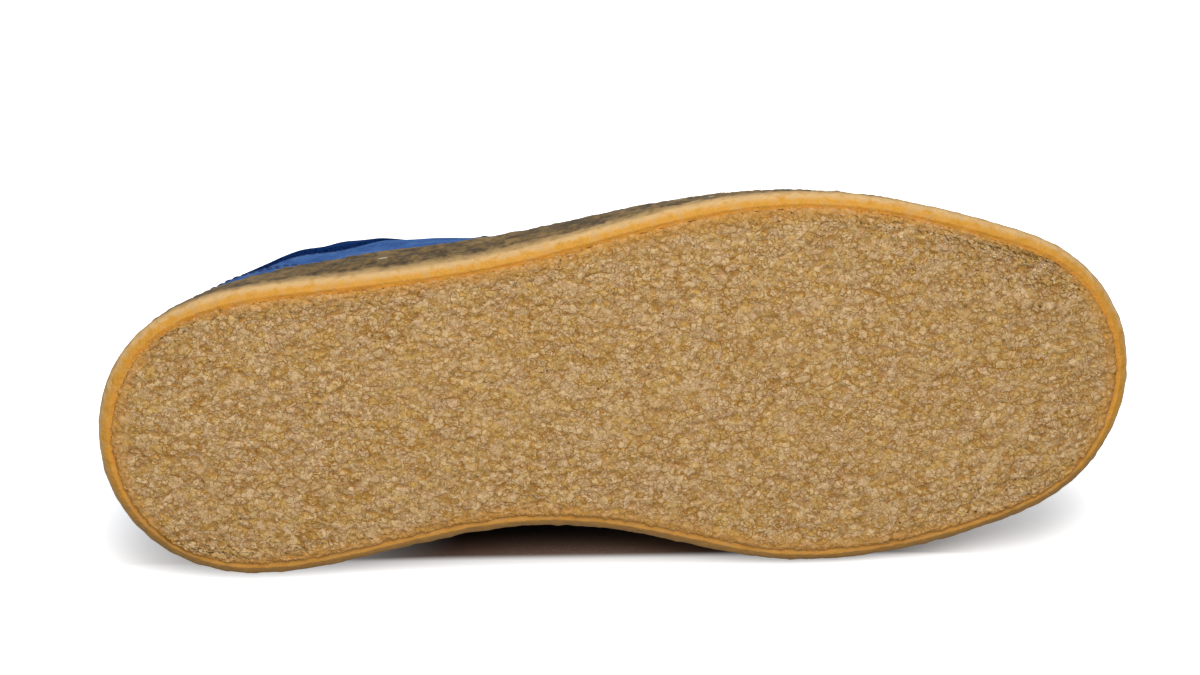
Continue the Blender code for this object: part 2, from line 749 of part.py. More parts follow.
def lace_strand(mesh_builder, start, end, lift):
    """A flat strand lying over the stay and the tongue between two places of the instep."""
    rows = []
    for t in np.linspace(0, 1, LACE_POINTS):
        share, across = (a + (b - a) * t for a, b in zip(start, end))
        normal = instep_normal(share, across)
        centre = instep_point(share, across) + normal * (OVERLAY_GAP + OVERLAY + 2 * GAP + LACE_THICKNESS / 2 + lift)
        rows.append((centre, normal))
    sections = []
    for i, (centre, normal) in enumerate(rows):
        run = rows[min(i + 1, len(rows) - 1)][0] - rows[max(i - 1, 0)][0]
        side = np.cross(normal, run)
        side /= np.linalg.norm(side)
        half, thick = LACE_WIDTH / 2, LACE_THICKNESS / 2
        profile = ((-1, 0), (-0.7, 1), (0.7, 1), (1, 0), (0.7, -1), (-0.7, -1))
        sections.append([centre + side * half * a + normal * thick * b for a, b in profile])
    verts = add_grid(mesh_builder, sections, closed=True)
    for end_loop in (verts[0], verts[-1]):
        mesh_builder.faces.new(end_loop)


def laces(collection):
    """One joined body: a bar at the foot of the throat and the crossings above it."""
    places = eyelet_places()
    foot, foot_across = places[-1]
    runs = [((foot, -foot_across), (foot, foot_across), LACE_OVER / 2)]
    for (high, high_across), (low, low_across) in zip(places, places[1:]):
        runs.append(((low, -low_across), (high, high_across), 0.0))
        runs.append(((low, low_across), (high, -high_across), LACE_OVER))
    strands = []
    for number, (start, end, lift) in enumerate(runs):
        mesh_builder = bmesh.new()
        lace_strand(mesh_builder, start, end, lift)
        strands.append(finish_object(f"lace_run_{number}", mesh_builder, "navy_lace", collection))
    made = strands[0]
    made.name = "laces"
    for strand in strands[1:]:
        join = made.modifiers.new("join", "BOOLEAN")
        join.operation = "UNION"
        join.object = strand
    bpy.context.view_layer.update()
    joined = bpy.data.meshes.new_from_object(made.evaluated_get(bpy.context.evaluated_depsgraph_get()))
    made.modifiers.clear()
    made.data = joined
    for strand in strands[1:]:
        bpy.data.objects.remove(strand)
    return made


# ---- laying the shoe on its side
def placed_points(pieces):
    """Every corner of the finished pieces, in the shoe's axes, in metres."""
    view = bpy.context.evaluated_depsgraph_get()
    points = []
    for piece in pieces:
        mesh = piece.evaluated_get(view).to_mesh()
        points += [v.co.copy() for v in mesh.vertices]
    return points


def resting_side(points):
    """The outward normal of the hull face on which the shoe lies, medial side down."""
    balance = Vector(BALANCE) * MM
    hull = bmesh.new()
    for point in points:
        hull.verts.new(point)
    bmesh.ops.convex_hull(hull, input=hull.verts)
    found = None
    for face in hull.faces:
        if face.normal.y < MEDIAL_FACING:
            continue
        foot = balance + face.normal * (face.verts[0].co - balance).dot(face.normal)
        corners = [v.co for v in face.verts]
        sides = [
            (b - a).cross(foot - a).dot(face.normal)
            for a, b in zip(corners, corners[1:] + corners[:1])
        ]
        if min(sides) >= 0:
            found = face.normal.copy()
    hull.free()
    if found is None:
        raise RuntimeError("no face of the hull holds the shoe up")
    return found


def lay_down(pieces, collection):
    """Parents the pieces to an empty that lays them on the floor, centred over the origin."""
    bpy.context.view_layer.update()
    points = placed_points(pieces)
    down = resting_side(points)
    up = -down
    forward = (Vector((1, 0, 0)) - down * down.x).normalized()
    turned = Matrix((forward, up.cross(forward), up)).to_4x4()
    spread = np.array([turned @ p for p in points])
    low, high = spread.min(axis=0), spread.max(axis=0)
    shift = Vector((-(low[0] + high[0]) / 2, -(low[1] + high[1]) / 2, -low[2]))
    bed = bpy.data.objects.new("lying_shoe", None)
    collection.objects.link(bed)
    bed.matrix_world = Matrix.Translation(shift) @ turned
    for piece in pieces:
        piece.parent = bed


def main():
    for old in list(bpy.data.objects):
        bpy.data.objects.remove(old)
    shoe = bpy.data.collections.new("sneaker")
    cutters = bpy.data.collections.new("cutters")
    bpy.context.scene.collection.children.link(shoe)
    bpy.context.scene.collection.children.link(cutters)
    suede, stay = upper(shoe), eyestay(shoe)
    pieces = [
        sole_cup(shoe),
        outsole_tread(shoe),
        insole(shoe),
        suede,
        stay,
        collar(shoe),
        heel_counter(shoe),
        tongue(shoe),
        laces(shoe),
    ]
    punch_eyelets((suede, stay), cutters)
    lay_down(pieces, shoe)
    for cutter in cutters.objects:
        cutter.parent = bpy.data.objects["lying_shoe"]


main()
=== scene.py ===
"""The looks of a right low-cut sneaker: blue suede on a natural crepe cup sole, lying on its medial side.

Every piece is made in the shoe's own axes, in millimetres: x runs from the heel to the toe, y towards
the medial side and z up from the tread. lay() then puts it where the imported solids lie, in metres. A
place round the shoe is given by its turn: 0 at the back of the heel, 1 at the toe tip, lateral side
first. A share is how far along its side a place lies, and across is measured from the instep's crest.
"""

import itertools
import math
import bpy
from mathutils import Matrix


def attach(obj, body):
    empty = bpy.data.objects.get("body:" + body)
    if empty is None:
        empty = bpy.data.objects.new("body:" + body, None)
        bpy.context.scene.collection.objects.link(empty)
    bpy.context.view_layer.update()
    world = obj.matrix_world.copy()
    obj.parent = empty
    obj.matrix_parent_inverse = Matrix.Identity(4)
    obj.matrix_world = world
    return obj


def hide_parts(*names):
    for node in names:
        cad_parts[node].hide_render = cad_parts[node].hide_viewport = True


bl_info = {
    "name": "Crepe Sole Sneaker",
    "version": (1, 0, 0),
    "blender": (4, 5, 0),
    "location": "View3D > Sidebar > Sneaker",
    "description": "Builds a blue suede sneaker on a crepe cup sole around its packed solids",
    "category": "Add Mesh",
}

import bmesh
import bpy
import numpy as np
from bpy.props import FloatProperty, FloatVectorProperty, IntProperty, PointerProperty
from mathutils import Matrix, Vector

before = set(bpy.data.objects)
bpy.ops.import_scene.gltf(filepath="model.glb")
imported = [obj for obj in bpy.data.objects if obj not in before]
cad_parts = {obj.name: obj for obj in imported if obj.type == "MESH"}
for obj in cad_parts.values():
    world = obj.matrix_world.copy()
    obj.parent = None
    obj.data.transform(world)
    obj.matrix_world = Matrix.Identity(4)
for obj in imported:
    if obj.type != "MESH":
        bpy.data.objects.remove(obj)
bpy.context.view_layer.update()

MM = 0.001
BODY = "root"
GAP = 0.3  # between solids that meet
COLUMNS = 80  # of the solids, round the shoe

# ---- how the shoe lies: pitch and roll in degrees, and the shift in millimetres
PITCH, ROLL = 1.455228, 11.415259
SHIFT = (-149.30859, -55.05792, 47.7015)

# ---- the sole, in the solids' own sizes
LENGTH = 298.5
HEEL_BACK = (0.0, 4.7)
TOE_TIP = (LENGTH, 0.2)
SOLE_COLUMNS = ("x", "lateral", "medial", "lateral_lip", "medial_lip", "wall", "bed")
SOLE_SECTIONS = (
    # x, half widths at the widest line, lip's step in from it, height of the wall and of the bed
    (0.0, 0.0, 0.0, 3.0, 3.0, 24.5, 16.5),
    (12.0, 26.0, 33.4, 4.9, 2.6, 24.4, 16.5),
    (30.0, 36.0, 44.2, 3.8, 2.0, 24.2, 16.5),
    (60.0, 40.2, 45.6, 0.9, 1.0, 24.0, 16.0),
    (90.0, 42.0, 40.4, -0.6, -0.4, 23.6, 15.0),
    (122.0, 45.8, 37.0, -0.2, -1.0, 22.6, 13.5),
    (157.0, 53.2, 42.4, 1.3, 0.2, 21.0, 12.0),
    (192.0, 57.8, 51.6, 3.0, 2.6, 19.5, 10.5),
    (225.0, 54.9, 51.8, 4.2, 4.0, 18.5, 10.0),
    (258.0, 44.9, 45.6, 4.6, 4.6, 18.2, 10.0),
    (282.0, 32.8, 34.9, 4.8, 4.8, 18.4, 10.2),
    (LENGTH, 0.0, 0.0, 5.0, 5.0, 18.8, 10.4),
)
SPRING_START = 205.0
TOE_SPRING = 9.0
RIM_WIDTH = 3.3
RIM_HEIGHT = 4.6
RIM_CREST = 0.4
GROOVE = 0.8
TREAD_THICKNESS = 4.0
TREAD_EDGE = 0.5
LIP_THICKNESS = 3.6
WALL_BARREL = 0.5
LIP_ROUND = (1.0, 0.4)

# ---- the upper's top line and sides
WALL = 2.0
TOP_COLUMNS = ("share", "x", "middle", "half", "z")
TOP_LINE = (
    # share of the way from heel to toe; place of the top edge, whose half width closes on the vamp
    (0.000, 11.0, 4.4, 0.0, 92.5),
    (0.050, 14.3, 4.6, 9.6, 91.0),
    (0.100, 23.0, 4.6, 16.8, 86.5),
    (0.150, 35.0, 3.8, 23.0, 81.0),
    (0.200, 50.0, 2.4, 28.4, 77.5),
    (0.250, 65.0, 1.4, 33.0, 76.5),
    (0.300, 81.0, 1.2, 33.0, 79.5),
    (0.350, 98.0, 1.2, 28.0, 88.0),
    (0.375, 107.0, 1.4, 24.0, 94.0),
    (0.400, 115.0, 1.6, 21.0, 96.0),
    (0.500, 149.0, 0.8, 15.6, 86.5),
    (0.575, 175.0, -0.6, 12.5, 77.5),
    (0.600, 184.0, -1.0, 9.5, 74.0),
    (0.625, 189.5, -1.3, 0.0, 72.0),
    (0.700, 207.0, -1.7, 0.0, 67.0),
    (0.800, 225.0, -1.6, 0.0, 62.0),
    (0.900, 240.0, 0.2, 0.0, 57.4),
    (1.000, 254.0, 1.4, 0.0, 52.0),
)
ARCH_REACH = 0.37
VAMP_SHARE = 0.625
SIDE_COLUMNS = ("share", "lean", "fall", "swell", "rise", "run")
SIDE_SHAPES = (
    # share; lean of the top from upright in degrees, fall of the crest, outward swell of the side,
    # and how far the curve runs straight on from its lip and from its top
    (0.000, 14.0, 0.00, 5.0, 26.0, 30.0),
    (0.100, 13.0, 0.00, -0.6, 22.0, 24.0),
    (0.275, 12.0, 0.00, 0.0, 20.0, 20.0),
    (0.325, 20.0, 0.08, -1.0, 20.0, 19.0),
    (0.375, 34.0, 0.20, -3.0, 21.0, 17.0),
    (0.500, 58.0, 0.36, -2.5, 19.0, 20.0),
    (0.600, 80.0, 0.40, -0.4, 18.0, 24.0),
    (0.650, 90.0, 0.38, -0.4, 15.0, 24.0),
    (0.800, 90.0, 0.30, 0.4, 15.0, 26.0),
    (1.000, 90.0, 0.42, 2.0, 15.0, 24.0),
)
FAN_SHARES = (0.30, 0.60)
SIDE_STEPS = 25

# ---- collar, overlays, lacing, tongue and insole
BAND = 15.0
BAND_END = 1.5
BAND_TAPER = 0.275
COLLAR_SWELL = 0.5
COLLAR_THIN = 0.45
COLLAR_BACK = 2
COLLAR_END = 15
COLLAR_CLEAR = 0.25
COLLAR_SEAM = 0.55
COLLAR_SEAT = (0.0, 0.5, 1.0)
COLLAR_ROLL = (
    # down from the top line; out from the suede's face
    (1.4, -0.1),
    (-0.4, -1.0),
    (-1.6, -3.6),
    (-0.8, -6.4),
    (3.0, -8.2),
    (10.0, -8.8),
    (18.0, -7.4),
    (25.0, -5.2),
    (30.0, -4.2),
)
OVERLAY = 1.4
COUNTER_END = 12
COUNTER_HEIGHT = 44.0
COUNTER_FOOT = 0.9
COUNTER_CURVES = (1.8, 1.2)
STAY_START = 15
STAY_END = 28
STAY_COLUMNS = ("share", "across")
STAY_EDGE = (
    # share; how far across from the crest the stay's outer edge runs
    (0.375, 38.0),
    (0.400, 41.5),
    (0.450, 40.0),
    (0.525, 35.5),
    (0.600, 28.5),
    (0.650, 21.0),
    (0.675, 15.0),
    (0.700, 6.0),
)
EYELET_PAIRS = 6
EYELET_DIAMETER = 4.6
EYELET_PUNCH = 12.0
EYELET_IN = 7.6
EYELET_SHARES = (0.405, 0.595)
TONGUE_HALF = (15.0, 24.5)
TONGUE_THICKNESS = 4.5
TONGUE_FOOT = 0.665
TONGUE_TOP = 0.40
TONGUE_TIP = (
    # steps of its free end: length, climb in degrees, half width, droop of its edges, thickness
    (6.0, 28.0, 20.0, 7.0, 5.0),
    (7.0, 38.0, 22.0, 7.5, 5.5),
    (7.0, 46.0, 23.0, 7.5, 5.5),
    (5.0, 50.0, 21.5, 6.5, 5.0),
    (2.5, 52.0, 17.5, 4.5, 3.4),
)
TONGUE_PUFF = 1.8
TONGUE_POINTS = 9  # across a section
TONGUE_SEAM = 11  # the section from which its edge is sewn
INSOLE = 4.0
INSOLE_CUP = 1.6
INSOLE_RINGS = (2.0, 9.0)

# ---- how finely the looks are made
WELD = 0.02  # points that lie so close are one
OUTLINE_STEPS = 24  # of the widest line, to a span
NEAR_TURN = 0.004  # steps between which slopes are taken, round the shoe
NEAR_ACROSS = 0.4
CREST_TOP = 0.96
CHIP_SEED = 11
EDGE_SEED = 5
FIELD_STEP = 0.25
TREAD_CELLS = (500, 166)
TREAD_EDGE_JAGS = 2400
TREAD_SIDES = (1.3, TREAD_THICKNESS)
GRID_END = 0.13  # turns that a plan grid's ends take
CUP_COLUMNS = 1240
RIM_STEPS, WALL_STEPS, LIP_STEPS = 13, 31, 5  # of the cup's section
INSOLE_COLUMNS = 480
INSOLE_CELLS = (150, 90)
UPPER_COLUMNS = 320
UPPER_ROWS = 56
COLLAR_COLUMNS = 281
SOFT_STEPS = 6  # of the collar and tongue, to a span of their sections
EYELET_SIDES = 24

# ---- sizes of the finishes, in millimetres
PEBBLE_SIZE = 2.3
CHIP_SIZE = 1.45
CRUMB_SIZE = 2.3
CHIP_WANDER = 2.4
BRAID_PITCH = 1.25
BRAID_RIB = 1.0
WEAVE_PITCH = 0.9
TWIST_PITCH = 0.45
RIM_SHADE_HEIGHTS = (46.0, 12.0)  # heights above the floor where the rim's painted shade starts and is full
GLOW = (4.0, 90.0, 0.33, 1.0)  # away from the rest line, and the floor's glow there
GLOW_FRONT = -5.0  # the glow grows so much faster in front of that line
NOOK_REACH = 0.07  # how far the floor looks for what shades it, in metres

# ---- the light above the sole, in metres
SOFTBOX_SIZE = 0.7
SOFTBOX_PLACE = (0.0, -0.42, 0.66)
SOFTBOX_AIM = (0.0, -0.02, 0.05)

# ---- the lace
LACE_SIDES = 20
LACE_STEADY = 17  # places over which the lace's flat direction is evened out
LACE_POWERS = (0.75, 0.7)  # how square its section is, across and through
LACE_CLEAR = 0.15
LACE_UNDER = -WALL - 0.75
LACE_LIFT = 0.75  # where one strand passes over the other
PINCHED = (3.7, 2.4)  # its width and thickness in an eyelet

# ---- the stitches
STITCH_GAP = 0.55
STITCH_STEPS = 7
STITCH_SIDES = 7
STITCH_SINK = 0.85
SEAM_INSETS = (2.0, 4.4)  # of the two rows along the counter and the stay

# ---- what the looks add
OVERLAY_SEAT = 0.15  # the overlays' backs lie so close on the suede
CREST_END = 0.955  # past this share the crest is too short to take a slope from
REST_LINE = (-53.0, 0.05, 110.0)  # where the shoe rests on the floor: its line's place, slant and half length
DASHES = 2600  # short splits in the tread's crumb
DASH_SPREAD = 1.3
DASH_DEPTH = 0.8
CREASE_COLUMNS = ("x", "y", "bow", "reach", "depth", "width")
SETTLED_COLUMNS = ("column", "top", "flank")
LATERAL_SETTLE = (
    # column; how far the worn lateral side stands out from its first shape, at its top and lower down
    (0.5, 0.0, 0.0),
    (3.0, -0.9, -1.0),
    (5.0, -1.3, -1.5),
    (6.4, -0.9, -1.1),
    (7.3, -0.6, -0.4),
    (8.4, -0.9, -0.3),
    (9.2, -1.1, -0.8),
    (9.9, -1.1, -1.3),
    (10.5, -0.4, -1.3),
    (11.2, 0.1, -1.1),
    (12.2, -0.4, -0.9),
    (13.0, -0.8, -0.6),
    (14.0, -0.2, 0.2),
    (15.2, 0.0, 1.1),
    (16.2, 0.0, 1.4),
    (17.5, 0.0, 0.5),
    (19.0, 0.0, 0.0),
)
VAMP_CREASES = (
    # where it crosses the crest, its middle across, how far its ends swing forward, half its length,
    # its depth and its half width
    (203.0, -4.0, 7.0, 40.0, 0.75, 2.8),
    (211.0, 6.0, 5.0, 34.0, 0.9, 2.6),
    (219.5, -8.0, 6.0, 36.0, 0.8, 3.0),
    (228.5, 3.0, 4.0, 26.0, 0.5, 2.6),
    (168.0, -34.0, 9.0, 22.0, 0.6, 3.4),
    (171.0, 33.0, 9.0, 22.0, 0.6, 3.4),
)


def tint(red, green, blue):
    """A colour given in the usual 0 to 255 steps, as the linear one that shaders take."""
    steps = np.array([red, green, blue]) / 255.0
    return tuple(float(v) for v in np.where(steps <= 0.04045, steps / 12.92, ((steps + 0.055) / 1.055) ** 2.4))


# ---- curves and tables
def table(names, rows):
    """The columns of a table by name."""
    return dict(zip(names, np.array(rows, float).T))


def monotone(xs, ys, x, flat=True):
    """A smooth curve through rising xs that never overshoots, at many places at once."""
    gaps = np.diff(xs)
    slopes = np.diff(ys) / gaps
    same = slopes[:-1] * slopes[1:] > 0
    low, high = np.where(same, slopes[:-1], 1.0), np.where(same, slopes[1:], 1.0)
    before, after = 2 * gaps[1:] + gaps[:-1], gaps[1:] + 2 * gaps[:-1]
    tangents = np.zeros(len(xs))
    tangents[1:-1] = np.where(same, (before + after) / (before / low + after / high), 0.0)
    if not flat:
        tangents[0], tangents[-1] = slopes[0], slopes[-1]
    x = np.asarray(x, float)
    i = np.clip(np.searchsorted(xs, x) - 1, 0, len(xs) - 2)
    t = (x - xs[i]) / gaps[i]
    return (
        (1 + 2 * t) * (1 - t) ** 2 * ys[i]
        + t * (1 - t) ** 2 * gaps[i] * tangents[i]
        + t * t * (3 - 2 * t) * ys[i + 1]
        + t * t * (t - 1) * gaps[i] * tangents[i + 1]
    )


def closed_spline(points, steps):
    """Points along the smooth closed curve through the given ones, steps to a span."""
    points = np.array(points, float)
    count = len(points)
    gaps = np.linalg.norm(np.roll(points, -1, axis=0) - points, axis=1)
    system = np.zeros((count, count))
    target = np.zeros_like(points)
    for i in range(count):
        j = (i + 1) % count
        system[i, i - 1] += gaps[i - 1]
        system[i, i] += 2 * (gaps[i - 1] + gaps[i])
        system[i, j] += gaps[i]
        target[i] = 6 * ((points[j] - points[i]) / gaps[i] - (points[i] - points[i - 1]) / gaps[i - 1])
    bend = np.linalg.solve(system, target)
    made = []
    for i in range(count):
        j = (i + 1) % count
        for t in np.arange(steps) / steps:
            line = points[i] * (1 - t) + points[j] * t
            curve = ((1 - t) ** 3 - (1 - t)) * bend[i] + (t**3 - t) * bend[j]
            made.append(line + curve * gaps[i] ** 2 / 6)
    return np.array(made)


def bezier(points, t):
    """Points along curves given by their four points in the last axis but one."""
    a, b, c, d = (points[..., i, :] for i in range(4))
    t = np.asarray(t)[..., None]
    return (1 - t) ** 3 * a + 3 * t * (1 - t) ** 2 * b + 3 * t * t * (1 - t) * c + t**3 * d


def blend(x, low, high):
    """0 below low, 1 above high, smooth between."""
    t = np.clip((x - low) / (high - low), 0.0, 1.0)
    return t * t * (3 - 2 * t)


def unit(vectors):
    """Vectors of length 1 in the same directions."""
    return vectors / np.maximum(np.linalg.norm(vectors, axis=-1, keepdims=True), 1e-9)


def through(points, steps, closed=False):
    """Points on the smooth curve through rows of points along the first axis, steps to a span."""
    count = len(points)
    if closed:
        padded = np.concatenate([points[-1:], points, points[:2]])
    else:
        padded = np.concatenate([2 * points[:1] - points[1:2], points, 2 * points[-1:] - points[-2:-1]])
    spans = count if closed else count - 1
    made = []
    for i in range(spans):
        before, start, end, after = padded[i : i + 4]
        for t in np.arange(steps) / steps:
            made.append(
                0.5
                * (
                    2 * start
                    + (end - before) * t
                    + (2 * before - 5 * start + 4 * end - after) * t * t
                    + (3 * start - before - 3 * end + after) * t**3
                )
            )
    if not closed:
        made.append(points[-1])
    return np.array(made)


SOLE = table(SOLE_COLUMNS, SOLE_SECTIONS)
TOP = table(TOP_COLUMNS, TOP_LINE)
SIDE = table(SIDE_COLUMNS, SIDE_SHAPES)
STAY = table(STAY_COLUMNS, STAY_EDGE)
CREASES = table(CREASE_COLUMNS, VAMP_CREASES)
SETTLED = table(SETTLED_COLUMNS, LATERAL_SETTLE)


def widest_line():
    """The sole's plan outline, with the turn of each of its points and its outward normals."""
    inner = SOLE_SECTIONS[1:-1]
    lateral = [(row[0], -row[1]) for row in inner]
    medial = [(row[0], row[2]) for row in reversed(inner)]
    line = closed_spline([HEEL_BACK, *lateral, TOE_TIP, *medial], OUTLINE_STEPS)
    toe = (len(lateral) + 1) * len(line) // (2 * len(inner) + 2)
    along = np.concatenate([[0.0], np.cumsum(np.linalg.norm(np.roll(line, -1, axis=0) - line, axis=1))])
    turns = np.where(
        np.arange(len(along)) <= toe,
        along / along[toe],
        1 + (along - along[toe]) / (along[-1] - along[toe]),
    )
    tangent = np.roll(line, -1, axis=0) - np.roll(line, 1, axis=0)
    normal = -unit(np.stack([-tangent[:, 1], tangent[:, 0]], axis=1))
    if np.sum((line - line.mean(axis=0)) * normal) < 0:
        normal = -normal
    return turns, np.vstack([line, line[:1]]), np.vstack([normal, normal[:1]])


TURNS, LINE, NORMALS = widest_line()


def edge(turn):
    """Points of the widest line and the outward normals there, in plan."""
    turn = np.asarray(turn, float) % 2
    point = np.stack([np.interp(turn, TURNS, LINE[:, i]) for i in range(2)], axis=-1)
    normal = np.stack([np.interp(turn, TURNS, NORMALS[:, i]) for i in range(2)], axis=-1)
    return point, unit(normal)


def share_of(turn):
    """How far along its own side a turn lies, from 0 at the heel to 1 at the toe."""
    turn = np.asarray(turn, float) % 2
    return np.minimum(turn, 2 - turn)


def turn_of(column):
    """The turn of a column of the solids; negative ones lie on the medial side."""
    return 2 * np.asarray(column, float) / COLUMNS % 2


def spring(x):
    """How far the toe spring lifts the sole at x."""
    return TOE_SPRING * np.maximum(0.0, (x - SPRING_START) / (LENGTH - SPRING_START)) ** 2


def sole_size(name, x):
    return monotone(SOLE["x"], SOLE[name], np.clip(x, 0.0, LENGTH))


def lip_in(turn, x):
    """How far the cup's lip stands in from the widest line, blending the sides at heel and toe."""
    lateral = blend(np.sin(np.pi * (np.asarray(turn, float) % 2)), -0.25, 0.25)
    return lateral * sole_size("lateral_lip", x) + (1 - lateral) * sole_size("medial_lip", x)


def sole_point(turn, inset, z):
    """Points of the sole, inset from its widest line, at heights above the tread."""
    point, normal = edge(turn)
    plan = point - normal * np.asarray(inset)[..., None]
    return np.concatenate([plan, (z + spring(plan[..., 0]))[..., None]], axis=-1)


# ---- the upper's sides
def lip_point(turn, depth=0.0):
    """Where the upper goes into the cup, and on down to its bed at depth 1."""
    x = edge(turn)[0][..., 0]
    inset = lip_in(turn, x) + LIP_THICKNESS + GAP
    wall = sole_size("wall", x)
    foot = sole_size("bed", x) + GAP
    return sole_point(turn, inset, wall + (foot - wall) * depth)


def top_point(turn):
    """Points of the sides' top edge."""
    share = share_of(turn)
    x, middle, z = (monotone(TOP["share"], TOP[name], share) for name in ("x", "middle", "z"))
    half = monotone(TOP["share"], TOP["half"], share, flat=False)
    side = np.where(np.asarray(turn) % 2 <= 1, -1, 1)
    return np.stack([x, middle + side * half, z], axis=-1)


def side_curve(turn):
    """The four points of the curve that an upper's side follows from the lip to its top."""
    share = share_of(turn)
    lean, fall, swell, rise, run = (monotone(SIDE["share"], SIDE[n], share) for n in SIDE_COLUMNS[1:])
    low, top = lip_point(turn), top_point(turn)
    outward = edge(turn)[1]
    aimed = unit((top - low)[..., :2])
    fan = blend(share, *FAN_SHARES)[..., None]
    inward = unit(aimed * fan - outward * (1 - fan))
    tilt = np.radians(lean)
    up = np.stack([inward[..., 0], inward[..., 1], -fall * inward[..., 0]], axis=-1) * np.sin(tilt)[..., None]
    up[..., 2] += np.cos(tilt)
    up = unit(up)
    swollen = low + np.concatenate([outward * swell[..., None], rise[..., None]], axis=-1)
    return np.stack([low, swollen, top - up * run[..., None], top], axis=-2)


def side_top(turn):
    """The tops of sides and the directions in which they go on."""
    curve = side_curve(turn)
    return curve[..., 3, :], unit(curve[..., 3, :] - curve[..., 2, :])


def side_height(turn, down):
    """How far up a side, from 0 at the lip to 1, places lie that are so far down from its top."""
    turn, down = np.broadcast_arrays(np.asarray(turn, float), np.asarray(down, float))
    steps = np.linspace(1, 0, SIDE_STEPS)
    points = bezier(side_curve(turn.ravel())[:, None], steps)
    lengths = np.concatenate(
        [np.zeros((turn.size, 1)), np.cumsum(np.linalg.norm(np.diff(points, axis=1), axis=2), axis=1)], axis=1
    )
    wanted = down.ravel()
    i = np.clip((lengths < wanted[:, None]).sum(axis=1) - 1, 0, SIDE_STEPS - 2)
    rows = np.arange(turn.size)
    low, high = lengths[rows, i], lengths[rows, i + 1]
    part = np.clip((wanted - low) / (high - low), 0.0, 1.0)
    return (steps[i] + (steps[i + 1] - steps[i]) * part).reshape(turn.shape)


def settled(turn, height):
    """How far the worn lateral side stands out from its first shape."""
    column = share_of(turn) * COLUMNS / 2
    lateral = (turn % 2 <= 1.0) & (column < LATERAL_SETTLE[-1][0]) & (column > LATERAL_SETTLE[0][0])
    top, flank = (monotone(SETTLED["column"], SETTLED[name], column) for name in SETTLED_COLUMNS[1:])
    out = top + (flank - top) * blend(1.0 - height, 0.02, 0.2)
    return np.where(lateral, out * blend(height, 0.2, 0.62), 0.0)


def side_point(turn, height):
    """Points of the upper's face; negative heights run down inside the cup."""
    turn, height = np.broadcast_arrays(np.asarray(turn, float), np.asarray(height, float))
    face = bezier(side_curve(turn), np.clip(height, 0.0, 1.0))
    face[..., :2] += edge(turn)[1] * settled(turn, height)[..., None]
    below = lip_point(turn, np.clip(-height, 0.0, None))
    return np.where((height < 0)[..., None], below, face)


def side_normal(turn, height):
    step = NEAR_TURN
    turn, height = np.broadcast_arrays(np.asarray(turn, float), np.asarray(height, float))
    at = np.where(share_of(turn) > CREST_END, np.minimum(height, CREST_TOP), height)
    around = side_point(turn + step, at) - side_point(turn - step, at)
    low, high = np.maximum(at - step, 0.0), np.minimum(at + step, 1.0)
    normal = np.cross(around, side_point(turn, high) - side_point(turn, low))
    crest = (height >= 1.0) & (share_of(turn) >= VAMP_SHARE - 1e-9)
    normal[..., 1] = np.where(crest, 0.0, normal[..., 1])
    return unit(normal)


# ---- across the throat
def arch(share, t):
    """Points of the arch that bridges the throat, from its lateral edge at 0 to its medial edge at 1."""
    (left, left_on), (right, right_on) = side_top(share), side_top(2 - share)
    reach = ARCH_REACH * np.linalg.norm(right - left, axis=-1, keepdims=True)
    return bezier(np.stack([left, left + left_on * reach, right + right_on * reach, right], axis=-2), t)


def arch_half(share):
    share = np.asarray(share, float)
    points = arch(share[..., None], np.linspace(0, 1, 13))
    return np.linalg.norm(np.diff(points, axis=-2), axis=-1).sum(axis=-1) / 2


def instep_point(share, across):
    """Points of the instep so far across from its crest, medial positive, over throat or suede."""
    share, across = np.broadcast_arrays(np.asarray(share, float), np.asarray(across, float))
    half = arch_half(share)
    over = arch(share, np.clip(0.5 + across / np.maximum(half, 1e-6) / 2, 0.0, 1.0))
    turn = np.where(across < 0, share, 2 - share)
    aside = side_point(turn, side_height(turn, np.maximum(np.abs(across) - half, 0.0)))
    return np.where((np.abs(across) < half)[..., None], over, aside)


def instep_normal(share, across):
    along = instep_point(share + NEAR_TURN, across) - instep_point(share - NEAR_TURN, across)
    sideways = instep_point(share, across + NEAR_ACROSS) - instep_point(share, across - NEAR_ACROSS)
    return unit(np.cross(along, sideways))


# ---- relief that geometry carries
def lattice(cells, seed):
    """A number from -1 to 1 for each whole cell, the same each time."""
    key = (cells * np.array([73856093, 19349663, 83492791])[: cells.shape[-1]]).sum(axis=-1) + seed * 961748941
    key = (key ^ (key >> 15)) * 0x2C1B3C6D & 0xFFFFFFFF
    key = (key ^ (key >> 12)) * 0x297A2D39 & 0xFFFFFFFF
    key = key ^ (key >> 15)
    return (key & 0xFFFFFF) / 0x7FFFFF - 1.0


def grain(points, size, seed):
    """Smooth noise from -1 to 1 with cells of a size in millimetres; each use has a seed of its own."""
    cells = points / np.asarray(size, float)
    base = np.floor(cells).astype(np.int64)
    part = cells - base
    part = part * part * (3 - 2 * part)
    total = np.zeros(points.shape[:-1])
    for corner in itertools.product((0, 1), repeat=points.shape[-1]):
        weight = np.prod(np.where(np.array(corner), part, 1 - part), axis=-1)
        total += weight * lattice(base + np.array(corner), seed)
    return total


def pebbles(points, size, seed):
    """Distance to the nearest and to the next of scattered places about a size apart, and its number."""
    cells = points / size
    base = np.floor(cells).astype(np.int64)
    first = np.full(points.shape[:-1], 9.0)
    second = first.copy()
    number = np.zeros_like(first)
    for corner in itertools.product((-1, 0, 1), repeat=3):
        cell = base + np.array(corner)
        place = cell + 0.5 + 0.5 * np.stack([lattice(cell, seed + i) for i in range(3)], axis=-1)
        away = np.linalg.norm(cells - place, axis=-1)
        nearer = away < first
        second = np.where(nearer, first, np.minimum(second, away))
        number = np.where(nearer, lattice(cell, seed + 7), number)
        first = np.where(nearer, away, first)
    return first, second, number


